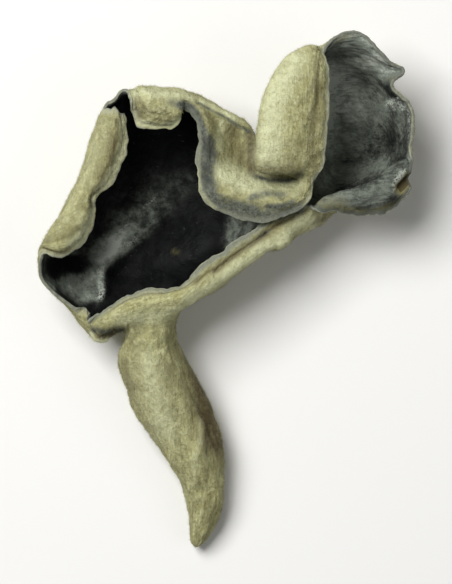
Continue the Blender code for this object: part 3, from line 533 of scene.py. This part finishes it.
class Sheet:
    """The middle surface: points, faces, margin loop, and for each point its distances from the
    margin and from each of the SIDES, its place between the stations and between the lines, its
    lengths along and over the lines, and the way out of the sheet at the margin near it."""

    PER_POINT = ("points", "margin_mm", "from_side", "station", "line", "grain", "outward")

    def __init__(self):
        grid, stations, rows = sheet_points()
        columns, across = grid.shape[:2]
        index = np.arange(columns * across).reshape(columns, across)
        first, last = (nearest(stations, station) for station in STEM_STATIONS)
        low, high = (nearest(rows, line) for line in STEM_LINES)
        solid = np.ones((columns - 1, across - 1), bool)
        solid[first:last, low:high] = False
        corners = (index[:-1, :-1], index[1:, :-1], index[1:, 1:], index[:-1, 1:])
        self.quads = np.column_stack([corner[solid] for corner in corners])
        self.triangles = np.empty((0, 3), int)
        self.margin = np.concatenate(
            [index[:-1, 0], index[-1, :-1], index[:0:-1, -1], index[0, :0:-1]])
        along = running_length(grid, 0)
        over = running_length(grid, 1)
        ends = [over, over[:, -1:] - over, along, along[-1:] - along]
        self.points = grid.reshape(-1, 3)
        self.from_side = np.stack(ends, axis=2).reshape(-1, len(SIDES))
        self.margin_mm = self.from_side.min(axis=1)
        self.station = np.repeat(stations, across)
        self.line = np.tile(rows, columns)
        self.grain = np.stack([along, over], axis=2).reshape(-1, 2)
        self.outward = self.way_out(grid, ends)
        hole = [(index[i, low], index[i, low - REFINE]) for i in range(first, last)]
        hole += [(index[last, j], index[last + REFINE, j]) for j in range(low, high)]
        hole += [(index[i, high], index[i, high + REFINE]) for i in range(last, first, -1)]
        hole += [(index[first, j], index[first - REFINE, j]) for j in range(high, low, -1)]
        self.add_stem(np.array(hole))
        self.drop(index[first + 1:last, low + 1:high].ravel())
        self.smooth()

    @staticmethod
    def way_out(grid, ends):
        """Direction out of the sheet at the margin that is nearest to each point."""
        front = grid[:, :1] - grid[:, REFINE:REFINE + 1]
        back = grid[:, -1:] - grid[:, -1 - REFINE:-REFINE]
        left = grid[:1] - grid[REFINE:REFINE + 1]
        right = grid[-1:] - grid[-1 - REFINE:-REFINE]
        ways = [np.broadcast_to(unit(way), grid.shape) for way in (front, back, left, right)]
        nearest_side = np.argmin(ends, axis=0)[None, :, :, None]
        return np.take_along_axis(np.array(ways), nearest_side, 0).reshape(-1, 3)

    def append(self, points, margin_mm, grain):
        """Adds points of the stem and returns their indexes."""
        start, count = len(self.points), len(points)
        added = {
            "points": points,
            "margin_mm": margin_mm,
            "from_side": np.full((count, len(SIDES)), FAR_INSIDE),
            "station": np.full(count, STEM_STATIONS[0]),
            "line": np.full(count, STEM_LINES[0]),
            "grain": grain,
            "outward": np.zeros((count, 3)),
        }
        for name in self.PER_POINT:
            setattr(self, name, np.concatenate([getattr(self, name), added[name]]))
        return np.arange(start, start + count)

    def add_stem(self, hole):
        """Rings from the hole's edge through the stem's sections, and a rounded toe.

        Each row of the hole has a point on its edge and the point of the sheet outside it."""
        edge = self.points[hole[:, 0]]
        outside = self.points[hole[:, 1]]
        middle = edge.mean(axis=0)
        reach = np.ptp(edge, axis=0) / 2
        turn = np.arctan2((edge[:, 2] - middle[2]) / reach[2], (edge[:, 0] - middle[0]) / reach[0])
        sections = [outside, edge]
        for y, left, right, bottom, top in STEM_SECTIONS:
            x = (left + right) / 2 + (right - left) / 2 * np.cos(turn)
            z = (bottom + top) / 2 + (top - bottom) / 2 * np.sin(turn)
            sections.append(np.column_stack([x, np.full(len(turn), y), z]))
        lengthways = []
        for path in np.array(sections).transpose(1, 0, 2):
            keys = keys_by_distance(path)
            wanted = np.linspace(keys[1], keys[-1], STEM_RINGS + 1)[1:]
            lengthways.append(curve_through(keys, path, wanted))
        rings = list(np.array(lengthways).transpose(1, 0, 2))
        toe = rings[-1].mean(axis=0)
        for k in range(1, TOE_RINGS):
            rings.append(toe + (rings[STEM_RINGS - 1] - toe) * (1 - k / TOE_RINGS))
        ring = hole[:, 0]
        girth = STEM_GIRTH * turn / (2 * math.pi)
        for points in rings:
            step = np.linalg.norm(points - self.points[ring], axis=1).mean()
            margin_mm = self.margin_mm[ring] + step
            lower = np.full(len(ring), self.grain[ring, 1].mean() - step)
            grain = np.column_stack([girth, lower])
            following = self.append(points, margin_mm, grain)
            quads = np.column_stack([ring, np.roll(ring, -1), np.roll(following, -1), following])
            self.quads = np.vstack([self.quads, quads])
            ring = following
        centre = self.append(toe[None], [FAR_INSIDE], self.grain[ring[:1]])
        self.triangles = np.column_stack([ring, np.roll(ring, -1), centre.repeat(len(ring))])

    def drop(self, unused):
        """Removes the points that the stem's hole leaves without a face."""
        kept = np.ones(len(self.points), bool)
        kept[unused] = False
        renumber = np.cumsum(kept) - 1
        for name in self.PER_POINT:
            setattr(self, name, getattr(self, name)[kept])
        for name in ("quads", "triangles", "margin"):
            setattr(self, name, renumber[getattr(self, name)])

    def neighbours(self):
        """Pairs of neighbouring points, each way round, and how many each point has."""
        pairs = np.vstack([
            np.column_stack([faces.ravel(), np.roll(faces, shift, axis=1).ravel()])
            for faces in (self.quads, self.triangles) for shift in (1, -1)
        ])
        pairs = np.unique(pairs, axis=0)
        count = np.bincount(pairs[:, 0], minlength=len(self.points))
        return pairs, count

    def averaged(self, values, pairs, count):
        """Mean of each point's neighbours."""
        total = [
            np.bincount(pairs[:, 0], values[pairs[:, 1], k], len(values))
            for k in range(values.shape[1])
        ]
        return np.column_stack(total) / count[:, None]

    def smooth(self):
        pairs, count = self.neighbours()
        inner = np.ones(len(self.points), bool)
        inner[self.margin] = False
        for _ in range(SMOOTHING_ROUNDS):
            mean = self.averaged(self.points, pairs, count)
            self.points[inner] += SMOOTHING_FACTOR * (mean - self.points)[inner]

    def normals(self):
        """Unit normals, which point out of the black face."""
        normal = np.zeros_like(self.points)
        for faces in (self.quads, self.triangles):
            p = self.points[faces]
            span = 2 if faces.shape[1] == 4 else 1
            area = np.cross(p[:, span] - p[:, 0], p[:, -1] - p[:, span - 1])
            for k in range(faces.shape[1]):
                np.add.at(normal, faces[:, k], area)
        pairs, count = self.neighbours()
        for _ in range(NORMAL_SMOOTHING_ROUNDS):
            normal = unit(normal)
            normal = (normal + self.averaged(normal, pairs, count)) / 2
        return unit(normal)


def distance_to_path(points, path):
    """Distance from each point to the nearest of the straight pieces of a path."""
    nearest_yet = np.full(len(points), np.inf)
    for start, end in zip(path[:-1], path[1:]):
        along = end - start
        t = np.clip((points - start) @ along / (along @ along), 0, 1)
        gap = np.linalg.norm(points - start - t[:, None] * along, axis=1)
        nearest_yet = np.minimum(nearest_yet, gap)
    return nearest_yet


def strokes_over(points, strokes):
    """Strongest of the strokes at each point. A stroke is (strength, reach, path)."""
    amount = np.zeros(len(points))
    for strength, reach, path in strokes:
        path = np.array(path, float)
        gap = distance_to_path(points[:, :path.shape[1]], path)
        amount = np.maximum(amount, strength * np.exp(-((gap / reach) ** 2)))
    return amount


def ripple(points, period, seed):
    """Smooth noise from -1 to 1 with bumps about half a period wide."""
    offset = Vector([seed * step for step in SEED_STEP])
    return np.array([noise.noise(Vector(p) / period + offset) for p in points])


def crease(points, period, seed):
    """Noise from 0 to 1 with narrow ridges where the smooth noise crosses zero."""
    return (1 - np.abs(ripple(points, period, seed)) * 2).clip(0, 1) ** 2


def lip_groove(sheet, side, stations, lines, inset, half_width):
    """How much each point is in the groove that follows one side's margin, from 0 to 1."""
    def within(values, span, fade):
        inner = np.minimum(values - span[0], span[1] - values) / fade
        return np.clip(inner, 0, 1)

    window = within(sheet.station, stations, GROOVE_STATION_FADE)
    window = window * within(sheet.line, lines, GROOVE_LINE_FADE)
    from_side = sheet.from_side[:, SIDES.index(side)]
    return window * np.exp(-(((from_side - inset) / half_width) ** 2))


def unevenness(sheet):
    """Moves the middle surface: small folds, drying wrinkles, and a wavy, slightly torn margin."""
    normal = sheet.normals()
    rise = np.zeros(len(sheet.points))
    for height, reach, path in FOLDS + FINE_FOLDS:
        rise += height * np.exp(-((distance_to_path(sheet.points, np.array(path)) / reach) ** 2))
    long_way = sheet.grain * (1, LONG_SHARE)
    places = {"all": sheet.points, "long": np.column_stack([long_way, np.zeros(len(long_way))])}
    wrinkled = 1 - strokes_over(sheet.points, SMOOTH_PARTS)
    for height, period, where, seed in WRINKLES:
        rise += height * wrinkled * ripple(places[where], period, seed)
    sheet.crease = np.zeros(len(sheet.points))
    for height, period, where, seed in CREASES:
        sheet.crease += height * wrinkled * crease(places[where], period, seed)
    rise += CREASE_ON_BLACK * sheet.crease
    for _, depth, *groove in LIP_GROOVES:
        rise += depth * lip_groove(sheet, *groove)
    near = np.exp(-((sheet.margin_mm / MARGIN_REACH) ** 2))
    for height, period, seed in MARGIN_WAVES:
        rise += height * near * wrinkled * ripple(sheet.points, period, seed)
    sheet.points += normal * rise[:, None]
    edge = np.exp(-((sheet.margin_mm / MARGIN_NIBBLE_REACH) ** 2))
    out = np.zeros(len(sheet.points))
    for depth, period, seed in MARGIN_NIBBLES:
        out += depth * ripple(sheet.points, period, seed)
    sheet.points += sheet.outward * (np.minimum(out, MARGIN_MOST_OUT) * edge)[:, None]


def thickness_at(margin_mm):
    share = np.clip(margin_mm / MARGIN_TAPER, 0, 1)
    share = share * share * (3 - 2 * share)
    return MARGIN_THICKNESS + (SHEET_THICKNESS - MARGIN_THICKNESS) * share


def two_faced(sheet):
    """Points, faces, material of each face and attributes of the sheet with its thickness.

    The two faces are the middle surface moved half the thickness each way, and the margin is a
    rounded edge with a shallow groove along it."""
    middle = sheet.points
    normal = sheet.normals()
    half = thickness_at(sheet.margin_mm)[:, None] / 2
    count = len(middle)
    crease_depth = (1 - CREASE_ON_BLACK) * sheet.crease[:, None] * half * 2 / SHEET_THICKNESS
    points = [middle + normal * half, middle - normal * (half - crease_depth)]
    points[1][:, 2] = np.maximum(points[1][:, 2], 0)
    attributes = {
        "inside": [np.ones(count), np.zeros(count)],
        "margin_mm": [sheet.margin_mm, sheet.margin_mm],
        "grain": [sheet.grain, sheet.grain],
        "crease": [np.zeros(count), sheet.crease],
        "up": [normal[:, 2], -normal[:, 2]],
    }
    loop = sheet.margin
    size = len(loop)
    rings = [loop]
    for k in range(1, EDGE_SEGMENTS):
        turn = math.pi * k / EDGE_SEGMENTS
        groove = 1 - EDGE_GROOVE * math.exp(-(((turn - math.pi / 2) / EDGE_GROOVE_WIDTH) ** 2))
        across = normal[loop] * math.cos(turn)
        outwards = sheet.outward[loop] * math.sin(turn) * groove
        points.append(middle[loop] + (across + outwards) * half[loop])
        rings.append(2 * count + (k - 1) * size + np.arange(size))
        constant = {"inside": 1 - k / EDGE_SEGMENTS, "margin_mm": 0.0, "crease": 0.0, "up": 1.0}
        for name, value in constant.items():
            attributes[name].append(np.full(size, value))
        attributes["grain"].append(sheet.grain[loop])
    rings.append(loop + count)
    quads = [sheet.quads, sheet.quads[:, ::-1] + count]
    for ring, following in zip(rings[:-1], rings[1:]):
        quads.append(np.column_stack([np.roll(ring, -1), ring, following, np.roll(following, -1)]))
    triangles = np.vstack([sheet.triangles, sheet.triangles[:, ::-1] + count])
    faces = np.vstack(quads).tolist() + triangles.tolist()
    slots = np.repeat(
        [BLACK_SLOT, KHAKI_SLOT, MARGIN_SLOT, BLACK_SLOT, KHAKI_SLOT],
        [len(sheet.quads)] * 2 + [EDGE_SEGMENTS * size] + [len(sheet.triangles)] * 2)
    attributes = {name: np.concatenate(values) for name, values in attributes.items()}
    return np.vstack(points), faces, slots, attributes


def fit_in_box(points):
    """Moves the piece over the solid and, where it reaches past the solid's box, squeezes it."""
    low, high = (np.array(corner) / METRES_PER_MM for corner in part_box(NODE))
    mine_low, mine_high = points.min(axis=0), points.max(axis=0)
    squeeze = np.minimum((high - low) / (mine_high - mine_low), 1)
    middle = (mine_low + mine_high) / 2
    anchor = (low + high) / 2
    middle[2], anchor[2] = mine_low[2], low[2]
    return (points - middle) * squeeze + anchor


def add_attribute(mesh, name, values):
    if values.ndim == 1:
        layer = mesh.attributes.new(name, "FLOAT", "POINT")
        layer.data.foreach_set("value", values.astype(np.float32))
    else:
        padded = np.zeros((len(values), 3), np.float32)
        padded[:, :values.shape[1]] = values
        layer = mesh.attributes.new(name, "FLOAT_VECTOR", "POINT")
        layer.data.foreach_set("vector", padded.ravel())


def new_mesh(name, points, faces):
    """Mesh of points in millimetres."""
    mesh = bpy.data.meshes.new(name)
    mesh.from_pydata((points * METRES_PER_MM).tolist(), [], faces)
    return mesh


def add_object(data):
    obj = bpy.data.objects.new(data.name, data)
    bpy.context.scene.collection.objects.link(obj)
    return obj


def stain_and_light_amounts(sheet, authored, inside, up):
    """How strong each mark, stains and painted light alike, is at each point."""
    seen = np.clip((up - LEAST_UP) / UP_FADE, 0, 1)
    on_face = {
        "black": seen * np.clip(inside * 2, 0, 1),
        "khaki": seen * np.clip(2 - inside * 2, 0, 1),
    }
    amounts = {}
    for name, face, strokes in STAINS_AND_PAINTED_LIGHT:
        amount = strokes_over(authored, strokes)
        for stain, _, *groove in LIP_GROOVES:
            if stain == name:
                both_faces = np.tile(GROOVE_MARK_SHARE * lip_groove(sheet, *groove), 2)
                count = len(both_faces)
                amount[:count] = np.maximum(amount[:count], both_faces)
        amounts[name] = amount * on_face[face]
    return amounts


def dress_sheet():
    sheet = Sheet()
    unevenness(sheet)
    authored, faces, slots, attributes = two_faced(sheet)
    up = attributes.pop("up")
    attributes |= stain_and_light_amounts(sheet, authored, attributes["inside"], up)
    points = fit_in_box(authored)
    mesh = new_mesh("ear_sheet", points, faces)
    mesh.polygons.foreach_set("material_index", slots.astype(np.int32))
    for name, values in attributes.items():
        add_attribute(mesh, name, values)
    for material in (black_face(), khaki_felt(), pale_margin()):
        mesh.materials.append(material)
    mesh.shade_smooth()
    obj = add_object(mesh)
    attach(obj, "root")
    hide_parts(NODE)
    dress_felt(sheet, points, attributes)


def khaki_triangles(sheet):
    """Corners of the khaki face's triangles, as indexes of the two-faced sheet's points."""
    quads, toe = (faces[:, ::-1] + len(sheet.points) for faces in (sheet.quads, sheet.triangles))
    halves = np.stack([quads[:, :3], quads[:, [0, 2, 3]]], axis=1).reshape(-1, 3)
    return np.vstack([halves, toe])


def dress_felt(sheet, points, attributes):
    """The felt's short hairs, one narrow triangle each, scattered over the khaki face."""
    chance = np.random.default_rng(HAIR_SEED)
    corners = khaki_triangles(sheet)
    a, b, c = points[corners].transpose(1, 0, 2)
    out = np.cross(b - a, c - a)
    area = np.linalg.norm(out, axis=1) / 2
    chosen = chance.choice(len(corners), HAIR_COUNT, p=area / area.sum())
    corners, out = corners[chosen], unit(out[chosen])
    shares = chance.dirichlet((1, 1, 1), HAIR_COUNT)

    def at_roots(values):
        return np.einsum("ij,ij...->i...", shares, values[corners])

    root = at_roots(points)
    lean = unit(chance.normal(size=(HAIR_COUNT, 3)))
    side = unit(np.cross(out, lean))
    shortening = np.clip(at_roots(attributes["margin_mm"]), HAIR_LEAST_SHARE, 1)
    length = (chance.uniform(*HAIR_LENGTH, HAIR_COUNT) * shortening)[:, None]
    tip = root + (out + HAIR_LEAN * lean) * length
    hairs = np.stack([root - side * HAIR_WIDTH / 2, root + side * HAIR_WIDTH / 2, tip], axis=1)
    hairs = hairs.reshape(-1, 3)
    hairs[:, 2] = np.maximum(hairs[:, 2], 0)
    mesh = new_mesh("ear_felt", hairs, np.arange(3 * HAIR_COUNT).reshape(-1, 3).tolist())
    for name, values in attributes.items():
        add_attribute(mesh, name, at_roots(values).repeat(3, axis=0))
    mesh.materials.append(bpy.data.materials["khaki_felt"])
    obj = add_object(mesh)
    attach(obj, "root")


class Nodes:
    """Short names for building a material's nodes. Positions are in millimetres."""

    def __init__(self, name):
        self.material = bpy.data.materials.new(name)
        self.material.use_nodes = True
        self.tree = self.material.node_tree
        self.shader = self.tree.nodes["Principled BSDF"]
        place = self.add("TexCoord", {})["Object"]
        self.position = self.vector("MULTIPLY", place, (1 / METRES_PER_MM,) * 3)

    def put(self, socket, value):
        if isinstance(value, bpy.types.NodeSocket):
            self.tree.links.new(value, socket)
        elif isinstance(value, tuple) and socket.type == "RGBA":
            socket.default_value = (*value, 1.0)
        else:
            socket.default_value = value

    def add(self, kind, inputs, **settings):
        """Outputs of a new node. Its inputs are values or other nodes' outputs."""
        node = self.tree.nodes.new("ShaderNode" + kind)
        for name, value in settings.items():
            setattr(node, name, value)
        for name, value in inputs.items():
            self.put(node.inputs[name], value)
        return node.outputs

    def vector(self, operation, a, b):
        return self.add("VectorMath", {0: a, 1: b}, operation=operation)[0]

    def math(self, operation, a, b=0.0, clamp=False):
        return self.add("Math", {0: a, 1: b}, operation=operation, use_clamp=clamp)[0]

    def axis(self, letter):
        return self.add("SeparateXYZ", {0: self.position})[letter]

    def attribute(self, name, output="Fac"):
        return self.add("Attribute", {}, attribute_name=name)[output]

    def mix(self, share, a, b, kind="RGBA"):
        """The colour or number a where the share is 0, and b where it is 1."""
        first, second, result = MIX_SOCKETS[kind]
        return self.add("Mix", {0: share, first: a, second: b}, data_type=kind)[result]

    def noise(self, period, detail, roughness=0.5, stretch=(1, 1, 1), where=None, distortion=0.0):
        """Noise from 0 to 1 whose bumps are about one period apart."""
        place = self.vector("MULTIPLY", where or self.position, tuple(1 / s for s in stretch))
        inputs = {"Vector": place, "Scale": 1 / period, "Detail": detail, "Roughness": roughness,
                  "Distortion": distortion}
        return self.add("TexNoise", inputs)["Fac"]

    def between(self, value, low, high, to_low=0.0, to_high=1.0):
        """The value from low to high, turned smoothly into to_low to to_high."""
        names = ("Value", "From Min", "From Max", "To Min", "To Max")
        inputs = dict(zip(names, (value, low, high, to_low, to_high)))
        return self.add("MapRange", inputs, interpolation_type="SMOOTHSTEP")["Result"]

    def times(self, value, *factors):
        """The value times factors, each (value, low, high, to_low, to_high)."""
        for factor in factors:
            value = self.math("MULTIPLY", value, self.between(*factor))
        return value

    def coats(self, color, *coats):
        """The colour under coats, each (tint, value, low, high, share at low, share at high)."""
        for tint, *share in coats:
            color = self.mix(self.between(*share), color, tint)
        return color

    def stain(self, color, name, uneven, tint):
        """The colour under the attribute's mark, with an uneven edge; marks are stains and painted
        light.
        """
        share = self.math("MULTIPLY", self.attribute(name), uneven, clamp=True)
        return self.mix(share, color, tint)

    def bumps(self, *layers):
        """Bump from layers of (height, depth in millimetres)."""
        normal = None
        for height, depth in layers:
            inputs = {"Strength": 1.0, "Distance": depth * METRES_PER_MM, "Height": height}
            if normal is not None:
                inputs["Normal"] = normal
            normal = self.add("Bump", inputs)["Normal"]
        self.put(self.shader.inputs["Normal"], normal)

    def finish(self, color, roughness, **constants):
        self.put(self.shader.inputs["Base Color"], color)
        self.put(self.shader.inputs["Roughness"], roughness)
        for name, value in constants.items():
            self.put(self.shader.inputs[name.replace("_", " ")], value)
        return self.material


def khaki_felt():
    n = Nodes("khaki_felt")
    margin_mm, grey, pale, crease_depth = map(n.attribute, ("margin_mm", "grey", "pale", "crease"))
    cloud = n.noise(4.5, detail=3)
    mottle = n.noise(0.95, detail=3, roughness=0.65)
    pits = n.noise(0.55, detail=2, roughness=0.6)
    fuzz = n.noise(0.42, detail=4, roughness=0.75)
    along_grain = n.noise(
        0.22, detail=3, roughness=0.65, stretch=(6.0, 1, 1), where=n.attribute("grain", "Vector"),
        distortion=1.0)
    along_y = n.noise(0.24, detail=3, roughness=0.65, stretch=(1, 7.0, 4.0), distortion=0.8)
    on_stem = n.between(n.axis("Y"), -6.0, -3.0, 1.0, 0.0)
    at_back = n.between(n.axis("Y"), 10.0, 12.5)
    fibre = n.mix(n.math("ADD", on_stem, at_back), along_grain, along_y, "FLOAT")
    color = n.coats(
        KHAKI_DEEP,
        (KHAKI, cloud, 0.35, 0.65),
        (KHAKI_LIGHT, mottle, 0.35, 0.7, 0.0, 0.75),
        (KHAKI_DARK, fibre, 0.35, 0.7, 0.0, 0.55),
        (KHAKI_DARK, fuzz, 0.3, 0.5, 0.65, 0.0),
        (KHAKI_PALE, fuzz, 0.52, 0.7, 0.0, 0.65),
        (KHAKI_PIT, pits, 0.24, 0.36, 0.5, 0.0),
        # Painted shade: creases darkened by their depth.
        (KHAKI_DARK, crease_depth, 0.06, 0.24, 0.0, 0.5),
    )
    ragged = n.times(n.between(mottle, 0.2, 0.65, 0.6, 1.25), (fuzz, 0.3, 0.7, 0.75, 1.2))
    # The brown marks are mostly painted shade.
    color = n.stain(color, "brown_and_shade", ragged, BROWN)
    # The pale marks are mostly painted highlight.
    color = n.stain(color, "pale", ragged, KHAKI_PALE)
    mottled_grey = n.coats(GREY_DARK, (GREY_LIGHT, fuzz, 0.35, 0.65))
    color = n.coats(color, (mottled_grey, n.math("MULTIPLY", grey, ragged), 0.1, 0.95))
    # Painted shade in hollows, creases and under overhangs.
    color = n.stain(color, "painted_shade", ragged, GREY_DARK)
    # Pale on the rim is mostly painted highlight.
    rim_color = n.coats(
        MARGIN_PALE,
        (RIM_GREY, grey, 0.2, 0.9),
        (KHAKI_LIGHT, pale, 0.1, 0.8, 0.0, 0.8),
    )
    near_rim = n.between(margin_mm, 0.15, 0.8, 0.8, 0.0)
    color = n.mix(n.math("MULTIPLY", near_rim, ragged, clamp=True), color, rim_color)
    n.bumps((mottle, 0.20), (pits, 0.10), (fibre, 0.12), (fuzz, 0.16))
    return n.finish(color, n.between(fuzz, 0.2, 0.8, 0.78, 0.95), Sheen_Weight=0.15,
                    Sheen_Roughness=0.6, Sheen_Tint=(0.8, 0.8, 0.58), Specular_IOR_Level=0.2)


def black_face():
    n = Nodes("black_face")
    cloud = n.noise(5.0, detail=3)
    patch = n.noise(1.5, detail=4, roughness=0.65, distortion=0.6)
    grain = n.noise(0.7, detail=4, roughness=0.65)
    streak = n.noise(0.42, detail=4, roughness=0.65, stretch=(4.5, 1, 1), distortion=0.8)
    speck = n.noise(0.3, detail=1, roughness=0.4)
    dust = n.noise(0.24, detail=3, roughness=0.7)
    lines = n.mix(n.between(n.axis("X"), 4.0, 11.0), grain, streak, "FLOAT")
    # The bloom is the face's own coating, made paler as painted light where the small hollow lies in
    # shade.
    bloom_and_light = n.times(
        n.math("ADD", n.attribute("bloom_and_light"), n.between(cloud, 0.45, 0.8, 0.0, 0.1)),
        # Painted shade: clears the bloom where the face lies in shade.
        (n.attribute("shade_on_black"), 0.0, 1.0, 1.0, 0.05),
        (patch, 0.3, 0.65, 0.6, 1.2),
        (lines, 0.3, 0.7, 0.65, 1.35),
        (dust, 0.3, 0.7, 0.85, 1.15),
    )
    color = n.coats(
        BLACK_DEEP,
        (BLACK, patch, 0.35, 0.7),
        (BLOOM, bloom_and_light, 0.0, 1.1),
        (BLOOM_LIGHT, bloom_and_light, 1.0, 2.0, 0.0, 0.8),
        # Partly painted light: the palest bloom.
        (BLOOM_PALE, bloom_and_light, 1.8, 3.4, 0.0, 0.8),
        (BLOOM, speck, 0.72, 0.8, 0.0, 0.2),
    )
    # Flecks are the face's own; the one on the curled tip is a painted highlight.
    color = n.stain(color, "fleck_and_highlight", n.between(dust, 0.4, 0.6, 0.0, 1.2), BLOOM_PALE)
    # Khaki patches, and painted shade in the notch and the curled tip's dent.
    color = n.stain(color, "khaki_and_shade", n.between(patch, 0.3, 0.6, 0.2, 1.2), KHAKI_DARK)
    color = n.coats(color, (DENT_SHADE_BROWN, n.attribute("khaki_and_shade"), 1.0, 1.3, 0.0, 0.8))
    near_rim = n.between(n.attribute("margin_mm"), 0.1, 0.7, 0.8, 0.0)
    uneven = n.between(patch, 0.2, 0.7, 0.6, 1.1)
    color = n.mix(n.math("MULTIPLY", near_rim, uneven, clamp=True), color, GREY)
    n.bumps((patch, 0.12), (lines, 0.05), (dust, 0.03))
    return n.finish(color, n.between(bloom_and_light, 0.0, 0.8, 0.55, 0.85), Specular_IOR_Level=0.08)


def pale_margin():
    n = Nodes("pale_margin")
    inside, grey, bloom_and_light, pale = map(n.attribute, ("inside", "grey", "bloom_and_light", "pale"))
    patch = n.noise(0.9, detail=4, roughness=0.7)
    fuzz = n.noise(0.2, detail=3, roughness=0.7)
    off_middle = n.math("ABSOLUTE", n.math("SUBTRACT", inside, 0.5))
    color = n.coats(
        MARGIN_PALE,
        (RIM_GREY, patch, 0.3, 0.7),
        (GREY, off_middle, 0.05, 0.3, 0.5, 0.0),
    )
    mottled_grey = n.coats(GREY, (RIM_GREY, patch, 0.35, 0.65))
    # The bloom here is partly painted light.
    color = n.mix(n.math("ADD", grey, bloom_and_light, clamp=True), color, mottled_grey)
    # The pale marks are mostly painted highlight.
    color = n.coats(
        color,
        (KHAKI_LIGHT, pale, 0.1, 0.8, 0.0, 0.8),
        (KHAKI_DARK, fuzz, 0.5, 0.75, 0.0, 0.5),
        (MARGIN_PALE, fuzz, 0.3, 0.45, 0.5, 0.0),
    )
    n.bumps((patch, 0.10), (fuzz, 0.06))
    return n.finish(color, 0.8, Specular_IOR_Level=0.3)


def studio():
    """A pale floor, two large soft lamps, the stronger one at the back left, and a pale sky."""
    reach = FLOOR_WIDTH / 2
    floor_mesh = bpy.data.meshes.new("floor")
    floor_mesh.from_pydata(
        [(-reach, -reach, 0), (reach, -reach, 0), (reach, reach, 0), (-reach, reach, 0)],
        [], [(0, 1, 2, 3)])
    paper = Nodes("pale_paper")
    floor_mesh.materials.append(paper.finish(FLOOR_COLOR, FLOOR_ROUGHNESS))
    floor = add_object(floor_mesh)
    for name, place, width, watts in LAMPS:
        light = bpy.data.lights.new(name, "AREA")
        light.size = width
        light.energy = watts
        lamp = add_object(light)
        lamp.location = place
        lamp.rotation_euler = (Vector(AIM) - Vector(place)).to_track_quat("-Z", "Y").to_euler()
    world = bpy.data.worlds.new("sky")
    world.use_nodes = True
    sky = world.node_tree.nodes["Background"]
    sky.inputs["Color"].default_value = (*SKY_COLOR, 1.0)
    sky.inputs["Strength"].default_value = SKY_STRENGTH
    bpy.context.scene.world = world
    bpy.context.scene.view_settings.view_transform = "Standard"


def camera():
    """Straight above the piece, a long lens, with the photograph's own up."""
    data = bpy.data.cameras.new("camera")
    data.sensor_fit = "VERTICAL"
    data.sensor_height = SENSOR_MM
    data.lens = SENSOR_MM * CAMERA_HEIGHT / VIEW_HEIGHT
    data.clip_start = CAMERA_NEAREST
    obj = add_object(data)
    obj.location = (0, 0, CAMERA_HEIGHT)
    bpy.context.scene.camera = obj


camera()
studio()
dress_sheet()
